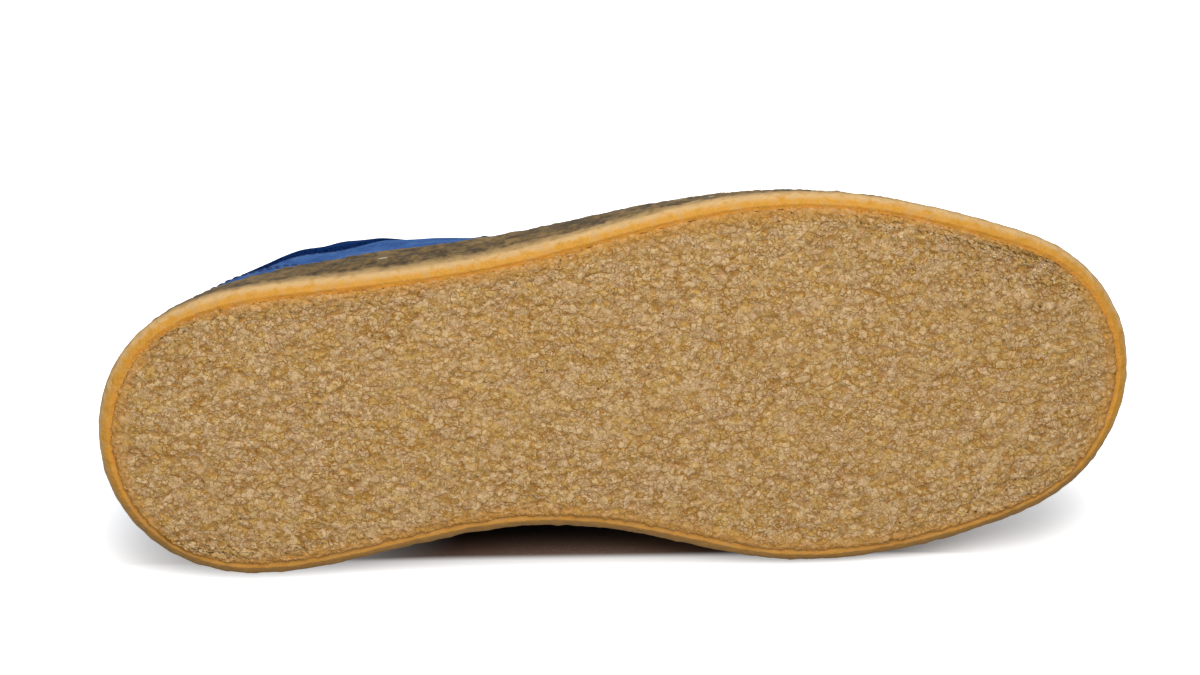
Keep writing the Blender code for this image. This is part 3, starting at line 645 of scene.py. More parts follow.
def relief(points):
    """Soft unevenness of the suede, and the creases across the vamp, as a height outwards."""
    out = 0.16 * grain(points, 17.0, 3) + 0.07 * grain(points, 7.0, 4)
    x, y = points[..., 0], points[..., 1]
    for i in range(len(VAMP_CREASES)):
        row = {name: CREASES[name][i] for name in CREASE_COLUMNS}
        aside = (y - row["y"]) / row["reach"]
        wander = 1.1 * grain(points, 9.0, 20 + i)
        away = (x - row["x"] - row["bow"] * aside**2 + wander) / row["width"]
        fold = 0.5 * np.exp(-((np.abs(away) - 1.9) ** 2)) - np.exp(-(away**2))
        out += row["depth"] * fold * (1 - blend(np.abs(aside), 0.45, 1.0))
    return out


# ---- making meshes
def lying():
    """The rotation that lays the shoe on its side."""
    pitch, roll = math.radians(PITCH), math.radians(ROLL)
    down = np.array([-math.sin(pitch), math.cos(pitch) * math.cos(roll), math.cos(pitch) * math.sin(roll)])
    forward = unit(np.array([1.0, 0.0, 0.0]) - down * down[0])
    return np.array([forward, np.cross(-down, forward), -down])


LYING = lying()


def lay(points):
    """Points of the shoe where it lies, in metres."""
    return (np.asarray(points) @ LYING.T + np.array(SHIFT)) * MM


def squares(places, around=False, across=False):
    """The four-sided faces between the places of a grid."""
    full = np.vstack([places, places[:1]]) if around else places
    full = np.hstack([full, full[:, :1]]) if across else full
    return np.stack([full[:-1, :-1], full[:-1, 1:], full[1:, 1:], full[1:, :-1]], axis=-1).reshape(-1, 4)


def tube_normals(rows):
    """The outward normals of a tube whose rows run along it."""
    along = np.roll(rows, -1, axis=0) - np.roll(rows, 1, axis=0)
    normal = unit(np.cross(np.gradient(rows, axis=1), along))
    heart = rows.mean(axis=0, keepdims=True)
    return -normal if np.sum((rows - heart) * normal) < 0 else normal


class Skin:
    """Points in the shoe's axes, values at them, and the faces between them."""

    def __init__(self):
        self.points, self.values, self.faces, self.kinds, self.count = [], {}, [], [], 0

    def grid(self, points, around=False, across=False, **values):
        """Faces over a grid of points; around joins its last row to its first, across its columns."""
        rows, columns = points.shape[:2]
        places = self.count + np.arange(rows * columns).reshape(rows, columns)
        self.points.append(points.reshape(-1, 3))
        self.count += rows * columns
        for name, value in values.items():
            spread = np.broadcast_to(value, (rows, columns)).ravel()
            self.values.setdefault(name, []).append((places.ravel(), spread))
        self.add(squares(places, around, across).tolist())
        return places

    def add(self, faces, kind=0):
        self.faces.extend(faces)
        self.kinds.extend([kind] * len(faces))

    def bridge(self, first, second):
        """Faces between two closed rings of places of one length."""
        first, second = np.append(first, first[0]), np.append(second, second[0])
        self.add(np.stack([first[:-1], first[1:], second[1:], second[:-1]], axis=-1).tolist())

    def tube(self, rows, across=False, **values):
        """Faces over a tube of points with closed ends; across where its rows are its rings."""
        places = self.grid(rows, around=not across, across=across, **values)
        for end in (places[0], places[-1]) if across else (places[:, 0], places[:, -1]):
            self.fan(end)

    def ladder(self, ring):
        """Faces straight across a ring that starts at the middle of the heel."""
        half = len(ring) // 2
        for k in range(half):
            loop = [ring[k], ring[k + 1], ring[-k - 1], ring[-k] if k else ring[0]]
            self.add([list(dict.fromkeys(int(i) for i in loop))])

    def fan(self, loop):
        """Faces from the middle of a small closed loop."""
        points = np.vstack(self.points)[loop]
        middle = self.count
        self.points.append(points.mean(axis=0, keepdims=True))
        self.count += 1
        self.add([[int(a), int(b), middle] for a, b in zip(loop, np.roll(loop, -1))])

    def mesh(self, name, finishes):
        """A Blender mesh of it, lying on its side, without unused points."""
        points = lay(np.vstack(self.points))
        used = np.zeros(len(points), bool)
        for face in self.faces:
            used[face] = True
        to = np.cumsum(used) - 1
        made = bpy.data.meshes.new(name)
        made.from_pydata(points[used].tolist(), [], [[int(to[i]) for i in face] for face in self.faces])
        for value_name, parts in self.values.items():
            values = np.zeros(len(points))
            for places, value in parts:
                values[places] = value
            attribute = made.attributes.new(value_name, "FLOAT", "POINT")
            attribute.data.foreach_set("value", values[used].astype(np.float32))
        for finish in finishes:
            made.materials.append(finish)
        made.polygons.foreach_set("material_index", np.array(self.kinds, np.int32))
        made.update()
        return made


def outwards(mesh):
    """Turns the faces of a closed mesh outwards."""
    builder = bmesh.new()
    builder.from_mesh(mesh)
    bmesh.ops.recalc_face_normals(builder, faces=builder.faces)
    builder.to_mesh(mesh)
    builder.free()


def place_piece(name, mesh, slot, *nodes, sharp=60.0):
    """Links a finished mesh into the scene as a piece that stands for solids."""
    mesh.shade_smooth()
    mesh.set_sharp_from_angle(angle=math.radians(sharp))
    piece = bpy.data.objects.new(name, mesh)
    shoe = bpy.data.collections.get("sneaker_looks")
    if shoe is None:
        shoe = bpy.data.collections.new("sneaker_looks")
        bpy.context.scene.collection.children.link(shoe)
    shoe.objects.link(piece)
    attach(piece, BODY)
    if nodes:
        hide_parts(*nodes)
    return piece


def made_piece(name, skin, finishes, slot, *nodes, sharp=60.0):
    mesh = skin.mesh(name, finishes)
    outwards(mesh)
    return place_piece(name, mesh, slot, *nodes, sharp=sharp)


def layers(strips):
    """A closed skin between the outer and the inner layer of strips that are welded where they touch."""
    skin, count, values = Skin(), 0, {}
    outer, inner, faces = [], [], []
    for strip in strips:
        top, under = strip["outer"], strip["inner"]
        rows, columns = top.shape[:2]
        places = count + np.arange(rows * columns).reshape(rows, columns)
        quads = squares(places, across=strip.get("closed", False))
        if strip.get("flip"):
            quads = quads[:, ::-1]
        faces.extend(quads.tolist())
        outer.append(top.reshape(-1, 3))
        inner.append(under.reshape(-1, 3))
        for name, value in strip["values"].items():
            values.setdefault(name, []).append(np.broadcast_to(value, (rows, columns)).ravel())
        count += rows * columns
    outer, inner = np.vstack(outer), np.vstack(inner)
    keys = np.round(outer / WELD).astype(np.int64)
    _, first, same = np.unique(keys, axis=0, return_index=True, return_inverse=True)
    to = first[same.ravel()]
    welded = [list(dict.fromkeys(int(to[i]) for i in face)) for face in faces]
    welded = [face for face in welded if len(face) > 2]
    sides = {}
    for face in welded:
        for a, b in zip(face, face[1:] + face[:1]):
            sides[(a, b)] = sides.get((a, b), 0) + 1
    rim = [(a, b) for a, b in sides if (b, a) not in sides]
    skin.points = [outer, inner]
    skin.count = 2 * count
    skin.add(welded, 0)
    skin.add([[i + count for i in reversed(face)] for face in welded], 1)
    skin.add([[b, a, a + count, b + count] for a, b in rim], 0)
    for name, parts in values.items():
        both = np.concatenate(parts)
        skin.values[name] = [(np.arange(count), both), (np.arange(count, 2 * count), both)]
    return skin


# ---- finishes
class Wiring:
    """Adds nodes to a tree; an input takes a value or another node's output."""

    def __init__(self, tree):
        self.tree = tree

    def add(self, kind, inputs=(), **settings):
        node = self.tree.nodes.new(kind)
        for name, value in settings.items():
            setattr(node, name, value)
        for name, value in dict(inputs).items():
            self.feed(node.inputs[name], value)
        return node

    def feed(self, socket, value):
        if isinstance(value, bpy.types.NodeSocket):
            self.tree.links.new(value, socket)
        elif socket.type == "RGBA":
            socket.default_value = (*value[:3], 1.0)
        else:
            socket.default_value = value

    def attribute(self, name):
        return self.add("ShaderNodeAttribute", attribute_name=name).outputs["Fac"]

    def millimetres(self):
        """The piece's own coordinates, in millimetres."""
        place = self.add("ShaderNodeTexCoord").outputs["Object"]
        return self.add("ShaderNodeVectorMath", {0: place, 3: 1 / MM}, operation="SCALE").outputs["Vector"]

    def stretched(self, vector, scale, turn=(0.0, 0.0, 0.0)):
        return self.add("ShaderNodeMapping", {"Vector": vector, "Scale": scale, "Rotation": turn}).outputs["Vector"]

    def noise(self, vector, size, detail=3.0, rough=0.55, twist=0.0):
        inputs = {"Vector": vector, "Scale": 1 / size, "Detail": detail, "Roughness": rough, "Distortion": twist}
        return self.add("ShaderNodeTexNoise", inputs).outputs["Fac"]

    def cells(self, vector, size, feature="F1", output="Distance"):
        inputs = {"Vector": vector, "Scale": 1 / size}
        return self.add("ShaderNodeTexVoronoi", inputs, feature=feature).outputs[output]

    def parts(self, vector):
        return self.add("ShaderNodeSeparateXYZ", {0: vector}).outputs

    def math(self, operation, first, second=0.0, clamp=False):
        return self.add("ShaderNodeMath", {0: first, 1: second}, operation=operation, use_clamp=clamp).outputs[0]

    def times(self, first, second):
        return self.math("MULTIPLY", first, second)

    def plus(self, first, second, clamp=False):
        return self.math("ADD", first, second, clamp)

    def wave(self, value, pitch):
        return self.math("SINE", self.times(value, 2 * math.pi / pitch))

    def remap(self, value, low, high, to_low=0.0, to_high=1.0):
        inputs = {"Value": value, "From Min": low, "From Max": high, "To Min": to_low, "To Max": to_high}
        return self.add("ShaderNodeMapRange", inputs, interpolation_type="SMOOTHSTEP").outputs["Result"]

    def mix(self, factor, low, high):
        node = self.add("ShaderNodeMix", data_type="RGBA")
        for place, value in ((0, factor), (6, low), (7, high)):
            self.feed(node.inputs[place], value)
        return node.outputs[2]

    def over(self, colour, shade, mask, low, high, strength):
        """A shade over a colour where a mask goes from low to high, as strong as strength."""
        return self.mix(self.times(self.remap(mask, low, high), strength), colour, shade)

    def bump(self, height, distance):
        """A normal from a height, its full step in millimetres."""
        inputs = {"Height": height, "Distance": distance * MM, "Strength": 1.0}
        return self.add("ShaderNodeBump", inputs).outputs["Normal"]


def group(name, inputs, outputs):
    """An empty shader node group, its wiring, and its inner sockets by name."""
    tree = bpy.data.node_groups.new(name, "ShaderNodeTree")
    for socket, kind, value in inputs:
        made = tree.interface.new_socket(socket, in_out="INPUT", socket_type="NodeSocket" + kind)
        if value is not None:
            made.default_value = value
    for socket, kind in outputs:
        tree.interface.new_socket(socket, in_out="OUTPUT", socket_type="NodeSocket" + kind)
    wiring = Wiring(tree)
    return tree, wiring, wiring.add("NodeGroupInput").outputs, wiring.add("NodeGroupOutput").inputs


def grain_group():
    """Fine and broad unevenness from three sizes of noise."""
    inputs = (("Vector", "Vector", None), ("Fine Size", "Float", 0.4), ("Broad Size", "Float", 9.0))
    tree, w, given, put = group("uneven_grain", inputs, (("Fine", "Float"), ("Middle", "Float"), ("Broad", "Float")))
    sizes = {"Fine": given["Fine Size"], "Broad": given["Broad Size"]}
    sizes["Middle"] = w.math("SQRT", w.times(sizes["Fine"], sizes["Broad"]))
    for name, size in sizes.items():
        scale = w.math("DIVIDE", 1.0, size)
        noise = w.add("ShaderNodeTexNoise", {"Vector": given["Vector"], "Scale": scale, "Detail": 3.0})
        w.feed(put[name], noise.outputs["Fac"])
    return tree


def dust_group():
    """A pale dust colour over another, in patches."""
    inputs = (
        ("Vector", "Vector", None),
        ("Color", "Color", (0.5, 0.5, 0.5, 1.0)),
        ("Dust", "Color", (0.6, 0.58, 0.55, 1.0)),
        ("Amount", "Float", 0.1),
        ("Size", "Float", 20.0),
    )
    tree, w, given, put = group("settled_dust", inputs, (("Color", "Color"),))
    scale = w.math("DIVIDE", 1.0, given["Size"])
    patch = w.add("ShaderNodeTexNoise", {"Vector": given["Vector"], "Scale": scale, "Detail": 4.0}).outputs["Fac"]
    much = w.times(w.remap(patch, 0.42, 0.72), given["Amount"])
    w.feed(put["Color"], w.mix(much, given["Color"], given["Dust"]))
    return tree


def shared(name, make):
    return bpy.data.node_groups.get(name) or make()


class Finish:
    """A material with its shader, to be fed."""

    def __init__(self, name, roughness, **uniform):
        self.material = bpy.data.materials.new(name)
        self.material.use_nodes = True
        tree = self.material.node_tree
        tree.nodes.clear()
        self.w = Wiring(tree)
        self.shader = self.w.add("ShaderNodeBsdfPrincipled", {"Roughness": roughness})
        output = self.w.add("ShaderNodeOutputMaterial")
        tree.links.new(self.shader.outputs["BSDF"], output.inputs["Surface"])
        for socket, value in uniform.items():
            self.w.feed(self.shader.inputs[socket.replace("_", " ")], value)
        self.vector = self.w.millimetres()

    def grain(self, fine, broad):
        given = {"Vector": self.vector, "Fine Size": fine, "Broad Size": broad}
        return self.w.add("ShaderNodeGroup", given, node_tree=shared("uneven_grain", grain_group)).outputs

    def dusted(self, colour, dust, amount, size):
        given = {"Vector": self.vector, "Color": colour, "Dust": dust, "Amount": amount, "Size": size}
        return self.w.add("ShaderNodeGroup", given, node_tree=shared("settled_dust", dust_group)).outputs["Color"]

    def done(self, colour, normal=None, roughness=None):
        for socket, value in (("Base Color", colour), ("Normal", normal), ("Roughness", roughness)):
            if value is not None:
                self.w.feed(self.shader.inputs[socket], value)
        return self.material


def new_finish(name, roughness, **uniform):
    """A new finish, its wiring, and the colours that a user has set."""
    made = Finish(name, roughness, **uniform)
    return made, made.w, bpy.context.scene.sneaker_colours


def once(name, make):
    """A finish that several pieces share."""
    return bpy.data.materials.get(name) or make()


def tread_finish():
    """Torn crepe: fibrous chips in pinkish and yellowish tones, amber in the crevices between them."""
    f, w, tones = new_finish("crumbly_crepe", 0.85, Specular_IOR_Level=0.25)
    high, tone, edge_near = w.attribute("high"), w.attribute("tone"), w.attribute("edge")
    wander = w.add("ShaderNodeTexNoise", {"Vector": f.vector, "Scale": 0.7, "Detail": 3.0}).outputs["Color"]
    shift = w.add("ShaderNodeVectorMath", {0: wander, 3: CHIP_WANDER}, operation="SCALE").outputs["Vector"]
    bent = w.add("ShaderNodeVectorMath", {0: f.vector, 1: shift}, operation="ADD").outputs["Vector"]
    long = w.stretched(bent, (0.62, 1.0, 1.0), (0.0, 0.25, 0.0))
    chip, crumb = w.cells(bent, CHIP_SIZE, output="Color"), w.cells(long, CRUMB_SIZE, output="Color")
    number, other = w.parts(chip), w.parts(crumb)
    turning = {"Vector": bent, "Axis": tuple(LYING @ (0.0, 0.0, -1.0)), "Angle": w.times(other["X"], math.pi)}
    turned = w.add("ShaderNodeVectorRotate", turning).outputs["Vector"]
    fibre = w.noise(w.stretched(turned, (0.42, 1.0, 1.6)), 0.8, 3.0, 0.6, 0.3)
    fuzz = w.noise(f.vector, 0.5, 2.0, 0.6)
    seam, split = w.cells(bent, CHIP_SIZE, "DISTANCE_TO_EDGE"), w.cells(long, CRUMB_SIZE, "DISTANCE_TO_EDGE")
    seam = w.times(w.remap(seam, 0.13, 0.0), w.remap(number["Z"], 0.2, 0.6))
    split = w.times(w.remap(split, 0.11, 0.0), w.remap(other["Z"], 0.3, 0.7))
    pink = w.remap(w.plus(w.times(other["Y"], 0.65), w.times(tone, 0.35)), 0.3, 0.7)
    colour = w.mix(pink, tones.chip_yellow, tones.chip_pink)
    colour = w.over(colour, tones.chip_pale, number["Y"], 0.35, 0.9, 0.75)
    colour = w.over(colour, tones.chip_olive, number["X"], 0.6, 1.0, 0.6)
    colour = w.over(colour, tones.chip_pale, fibre, 0.5, 0.68, 0.7)
    colour = w.over(colour, tones.crevice, fibre, 0.47, 0.3, 0.8)
    colour = w.over(colour, tones.crevice, fuzz, 0.46, 0.28, 0.5)
    low = w.plus(w.times(seam, 0.7), w.times(split, 0.8), clamp=True)
    low = w.math("MAXIMUM", low, w.times(w.remap(high, 0.5, 0.2), 0.55))
    colour = w.mix(low, colour, tones.crevice)
    colour = w.over(colour, tones.chip_yellow, w.noise(f.vector, 16.0), 0.4, 0.7, 0.2)
    colour = w.mix(w.times(edge_near, 0.6), colour, tones.tread_edge)
    speck = w.remap(w.cells(f.vector, 7.0), 0.055, 0.03)
    colour = w.mix(w.times(speck, 0.8), colour, tones.speck)
    height = w.plus(fibre, w.times(fuzz, 0.5))
    height = w.math("SUBTRACT", height, w.times(low, 0.5))
    height = w.plus(height, w.times(number["Z"], 0.25))
    return f.done(colour, w.bump(height, 0.42))


def side_finish():
    """Moulded crepe: cream and amber on the rim, brown and glossy on the wall, with painted shade on the rim near the
    floor, in the wall's pits and towards the heel, and painted glints.
    """
    f, w, tones = new_finish("moulded_crepe", 0.5, Specular_IOR_Level=0.16)
    rim, groove, hollow = w.attribute("rim"), w.attribute("groove"), w.attribute("hollow")
    shoulder = w.attribute("shoulder")
    grain = f.grain(0.6, 12.0)
    streak = w.noise(w.stretched(f.vector, (0.25, 1.0, 1.0)), 1.3, 4.0, 0.7, 0.5)
    wall = w.mix(w.remap(grain["Broad"], 0.35, 0.68), tones.wall_brown, tones.wall_light)
    # painted shade: the wall darker towards the heel, under the overhanging upper, and paler towards the toe
    ahead = w.parts(f.vector)["X"]
    wall = w.over(wall, tones.wall_light, ahead, -70.0, 60.0, 0.5)
    wall = w.over(wall, tones.wall_light, streak, 0.48, 0.7, 0.7)
    wall = w.over(wall, tones.wall_dark_and_pit_shade, streak, 0.5, 0.32, 0.8)
    # painted shade in the wall's pits
    wall = w.over(wall, tones.wall_dark_and_pit_shade, hollow, 0.45, 0.9, 0.7)
    mottled = w.plus(shoulder, w.remap(grain["Middle"], 0.3, 0.7, -0.35, 0.35), clamp=True)
    amber = w.mix(mottled, tones.rim_amber, tones.rim_cream)
    reach = w.plus(rim, w.remap(grain["Middle"], 0.3, 0.7, -0.12, 0.12), clamp=True)
    colour = w.mix(reach, wall, amber)
    ragged = w.plus(groove, w.remap(grain["Middle"], 0.3, 0.7, -0.3, 0.3), clamp=True)
    patchy = w.remap(w.noise(f.vector, 4.0, 4.0, 0.7), 0.36, 0.62, 0.15, 1.0)
    ragged = w.times(w.times(ragged, w.remap(groove, 0.0, 0.1)), patchy)
    colour = w.mix(ragged, colour, tones.groove)
    flecks = w.remap(w.noise(f.vector, 0.55, 2.0, 0.6), 0.56, 0.7)
    colour = w.mix(w.times(w.times(flecks, rim), 0.45), colour, tones.rim_cream)
    # painted shade: the rim turns a duller brown near the floor, where it lies in shade
    low = w.remap(w.parts(f.vector)["Z"], *RIM_SHADE_HEIGHTS)
    low_rim_shade = w.plus(low, w.remap(grain["Middle"], 0.3, 0.7, -0.25, 0.25), clamp=True)
    clear = w.remap(groove, 0.6, 0.1, 0.5, 1.0)
    colour = w.mix(w.times(w.times(low_rim_shade, clear), 0.85), colour, tones.rim_painted_shade)
    fine = w.cells(f.vector, 0.9, "SMOOTH_F1")
    # painted glints: white highlights of light painted into the wall's colour
    spots = w.cells(w.stretched(f.vector, (0.22, 1.0, 1.0)), 3.6)
    glint = w.times(w.remap(spots, 0.13, 0.07), w.remap(rim, 0.4, 0.0))
    glint = w.times(glint, w.remap(w.noise(f.vector, 22.0, 1.0), 0.48, 0.56))
    colour = w.mix(w.times(glint, 0.85), colour, tones.glint)
    rough = w.plus(w.times(rim, 0.22), w.remap(grain["Middle"], 0.3, 0.7, 0.3, 0.5))
    height = w.plus(w.times(fine, 0.6), w.times(grain["Fine"], 0.8))
    return f.done(colour, w.bump(height, 0.28), rough)


def suede_finish():
    """Blue suede: a short nap, brushed lighter and darker in soft patches."""
    sheen = {"Sheen_Weight": 0.2, "Sheen_Roughness": 0.45, "Sheen_Tint": (0.03, 0.14, 0.6)}
    f, w, tones = new_finish("napped_suede", 0.95, Specular_IOR_Level=0.0, **sheen)
    grain = f.grain(0.35, 11.0)
    brushed = w.noise(w.stretched(f.vector, (1.0, 0.45, 0.7), (0.3, 0.2, 0.6)), 6.0, 5.0, 0.65, 0.8)
    tufts = w.noise(w.stretched(f.vector, (0.4, 1.0, 0.6), (0.2, 0.5, 0.3)), 1.5, 4.0, 0.7, 0.6)
    colour = w.mix(w.remap(brushed, 0.36, 0.64), tones.suede_dark, tones.suede)
    colour = w.over(colour, tones.suede_light, tufts, 0.5, 0.72, 0.6)
    colour = w.over(colour, tones.suede_dark, tufts, 0.5, 0.3, 0.6)
    colour = w.over(colour, tones.suede_light, grain["Broad"], 0.45, 0.75, 0.4)
    colour = w.over(colour, tones.suede_light, grain["Fine"], 0.5, 0.75, 0.55)
    colour = w.over(colour, tones.suede_dark, grain["Fine"], 0.5, 0.25, 0.6)
    # dark edge dye along the cut edges; along the overlays' edges it also paints the shadow line beneath them
    colour = w.mix(w.times(w.attribute("cut"), 0.85), colour, tones.suede_edge_dye_and_shadow)
    nap = w.plus(grain["Fine"], w.times(tufts, 1.6))
    return f.done(f.dusted(colour, tones.suede_light, 0.12, 16.0), w.bump(nap, 0.4))


def lining_finish():
    """Navy knitted lining, in small rows of loops."""
    f, w, tones = new_finish("knitted_lining", 0.85, Sheen_Weight=0.3, Sheen_Tint=(0.05, 0.18, 0.6), Specular_IOR_Level=0.0)
    loop = w.cells(w.stretched(f.vector, (1.0, 1.0, 0.7)), 0.75, "F1")
    grain = f.grain(0.3, 9.0)
    colour = w.mix(w.remap(loop, 0.1, 0.9, 0.15, 1.0), tones.navy_light, tones.navy)
    colour = w.over(colour, tones.navy_light, grain["Broad"], 0.4, 0.7, 0.4)
    height = w.math("SUBTRACT", w.times(grain["Fine"], 0.4), loop)
    return f.done(colour, w.bump(height, 0.25))


def lace_finish():
    """Flat braid: two sets of strands crossing in a herringbone along the lace."""
    f, w, tones = new_finish("navy_braid", 0.8, Sheen_Weight=0.15, Sheen_Tint=(0.1, 0.25, 0.7), Specular_IOR_Level=0.05)
    along, over = w.attribute("along"), w.attribute("over")
    strand = w.wave(w.plus(along, w.times(w.math("ABSOLUTE", over), 1.1)), BRAID_PITCH)
    rib = w.wave(over, BRAID_RIB)
    height = w.plus(w.times(strand, 0.6), w.times(rib, 0.35))
    colour = w.mix(w.remap(height, -0.8, 0.9), tones.navy, tones.lace_light)
    fuzz = f.grain(0.25, 8.0)
    height = w.plus(height, w.times(fuzz["Fine"], 0.6))
    return f.done(colour, w.bump(height, 0.2))


def insole_finish():
    """The sock's cloth: a close plain weave, a little fuzzy."""
    f, w, tones = new_finish("woven_sock", 0.9, Sheen_Weight=0.2, Sheen_Roughness=0.5)
    parts = w.parts(f.vector)
    threads = [w.wave(parts[name], WEAVE_PITCH) for name in "XZ"]
    weave = w.times(*threads)
    grain = f.grain(0.3, 14.0)
    colour = w.mix(w.remap(weave, -0.8, 0.8), tones.navy, tones.navy_light)
    colour = w.over(colour, tones.navy_light, grain["Broad"], 0.4, 0.7, 0.35)
    height = w.plus(w.times(weave, 0.5), grain["Fine"])
    return f.done(f.dusted(colour, tones.navy_light, 0.3, 18.0), w.bump(height, 0.15))


def thread_finish():
    """Waxed sewing thread, twisted."""
    f, w, tones = new_finish("sewing_thread", 0.6)
    twist = w.wave(w.attribute("along"), TWIST_PITCH)
    colour = w.mix(w.remap(twist, -0.8, 0.8), tones.navy_light, tones.thread)
    return f.done(colour, w.bump(twist, 0.08))


def floor_finish():
    """A white sweep that glows to the camera, less so where the shoe rests and hardly at all beneath it, where its
    colour is a painted shadow, brown to near black.
    """
    f = Finish("white_sweep", 0.9, Specular_IOR_Level=0.1, Emission_Color=(1.0, 1.0, 1.0))
    w = f.w
    seen = w.add("ShaderNodeLightPath").outputs["Is Camera Ray"]
    parts = w.parts(f.vector)
    front, slant, side = REST_LINE
    ahead = w.plus(w.math("SUBTRACT", parts["Y"], front), w.times(parts["X"], slant))
    beside = w.math("MAXIMUM", w.math("SUBTRACT", w.math("ABSOLUTE", parts["X"]), side), 0.0)
    along = w.math("MAXIMUM", ahead, w.times(ahead, GLOW_FRONT))
    away = w.math("SQRT", w.plus(w.times(along, along), w.times(beside, beside)))
    glow = w.remap(away, *GLOW)
    nook = w.add("ShaderNodeAmbientOcclusion", {"Distance": NOOK_REACH}, samples=8).outputs["AO"]
    open_front = w.remap(ahead, 0.5, -3.5)
    ends = w.times(w.remap(w.math("ABSOLUTE", parts["X"]), 45.0, 118.0), 0.9)
    behind = w.remap(parts["Y"], -20.0, 5.0)
    lit = w.math("MAXIMUM", w.remap(nook, 0.3, 0.56), w.math("MAXIMUM", open_front, ends))
    lit = w.math("MAXIMUM", lit, behind)
    # the glow fades near the rest line and beneath the shoe: painted shadow
    w.feed(f.shader.inputs["Emission Strength"], w.times(w.times(seen, glow), lit))
    # painted shadow: brown to near black beneath the arch, where the shoe shades the floor
    painted_shadow = w.mix(w.remap(ahead, 0.0, 16.0), (0.22, 0.13, 0.09), (0.03, 0.024, 0.02))
    shown = w.mix(lit, painted_shadow, (0.8, 0.8, 0.8))
    return f.done(w.mix(seen, (0.5, 0.5, 0.5), shown))


# ---- what a user would change
def size_property(name, description, default, low=0.0):
    return FloatProperty(name=name, description=description + ", in millimetres", default=default, min=low)


def fill_property(name, default):
    described = "How full its padding is"
    return FloatProperty(name=name, description=described, default=default, min=0.0, max=1.0, subtype="FACTOR")


def angle_property(name, description, degrees):
    return FloatProperty(name=name, description=description, default=math.radians(degrees), subtype="ANGLE")


class SneakerSizes(bpy.types.PropertyGroup):
    chip_count: IntProperty(name="Chips", description="Torn chips over the tread", default=36000, min=100)
    chip_length: size_property("Chip length", "Usual length of a chip", 2.7, 0.5)
    chip_width: size_property("Chip width", "Usual width of a chip", 1.15, 0.2)
    chip_relief: size_property("Chip relief", "How far chips stand out", 0.42)
    rim_relief: size_property("Rim relief", "Height of the rim's small bumps", 0.22)
    wall_relief: size_property("Wall relief", "Height of the wall's pebbles", 0.5)
    stitch_length: size_property("Stitch length", "Length of one stitch", 2.5, 0.5)
    thread_width: size_property("Thread width", "Thickness of the thread", 0.5, 0.1)
    lace_width: size_property("Lace width", "Width of the flat lace", 6.0, 1.0)
    lace_thickness: size_property("Lace thickness", "Thickness of the lace", 1.5, 0.3)
    collar_fill: fill_property("Collar fill", 0.65)
    tongue_fill: fill_property("Tongue fill", 0.5)


def colour_property(name, description, shade):
    return FloatVectorProperty(
        name=name, description=description, default=tint(*shade), min=0.0, max=1.0, size=3, subtype="COLOR"
    )


class SneakerColours(bpy.types.PropertyGroup):
    chip_pink: colour_property("Chip, pinkish", "Torn crepe on its pinkish side", (206, 170, 128))
    chip_yellow: colour_property("Chip, yellowish", "Torn crepe on its yellowish side", (204, 162, 90))
    chip_pale: colour_property("Chip, pale", "Fine pale fibres", (226, 196, 150))
    chip_olive: colour_property("Chip, olive", "Torn crepe on its greenish side", (178, 146, 82))
    crevice: colour_property("Crevice", "Between the chips", (166, 110, 28))
    tread_edge: colour_property("Tread edge", "Just inside the rim", (208, 148, 66))
    speck: colour_property("Speck", "A few dark specks", (60, 42, 28))
    rim_amber: colour_property("Rim, amber", "The rim's deeper tone", (208, 148, 52))
    rim_cream: colour_property("Rim, cream", "The rim's paler tone", (216, 178, 122))
    groove: colour_property("Groove", "Between rim and tread", (218, 148, 54))
    # painted shade on the moulded rim where it lies near the floor
    rim_painted_shade: colour_property("Rim, soiled", "Moulded rim where it has picked up dirt", (152, 116, 68))
    wall_brown: colour_property("Wall, brown", "The side wall", (98, 78, 44))
    wall_light: colour_property("Wall, light", "Paler patches of the side wall", (142, 116, 70))
    # the wall's own dark streaks, and painted shade in its pits
    wall_dark_and_pit_shade: colour_property("Wall, dark", "In the wall's pits", (50, 40, 24))
    # painted glints of light on the glossy wall
    glint: colour_property("Glint", "Pale flecks in the wall", (222, 212, 190))
    suede: colour_property("Suede", "The nap lying one way", (80, 118, 178))
    suede_dark: colour_property("Suede, dark", "The nap lying the other way", (55, 90, 152))
    suede_light: colour_property("Suede, light", "Where the nap is brushed up", (114, 150, 204))
    # edge dye of the cut edges, and a painted shadow line along the overlays
    suede_edge_dye_and_shadow: colour_property("Suede, cut", "The cut edges", (10, 26, 62))
    navy: colour_property("Navy", "Lining, collar and laces", (4, 20, 54))
    navy_light: colour_property("Navy, light", "The lining's raised loops", (18, 44, 94))
    lace_light: colour_property("Lace, light", "The braid's raised strands", (32, 58, 116))
    thread: colour_property("Thread", "The stitching", (12, 32, 78))


class SneakerView(bpy.types.PropertyGroup):
    azimuth: angle_property("Azimuth", "Round from straight in front of the sole", 4.4646)
    elevation: angle_property("Elevation", "Up from the floor", 27.291)
    distance: FloatProperty(
        name="Distance", description="From the camera to what it looks at", default=1.2, min=0.1, unit="LENGTH"
    )
    focal_length: size_property("Focal length", "Of the lens", 120.57, 10.0)
    aim: FloatVectorProperty(
        name="Aim",
        description="What it looks at: right, up and height, in millimetres",
        default=(-1.7078, -5.6086, 50.0),
        size=3,
    )
    softbox: FloatProperty(
        name="Softbox", description="Power of the light above the sole, in watts", default=4.9, min=0.0
    )
    sky: FloatProperty(name="Sky", description="Strength of the even light all round", default=0.45, min=0.0)


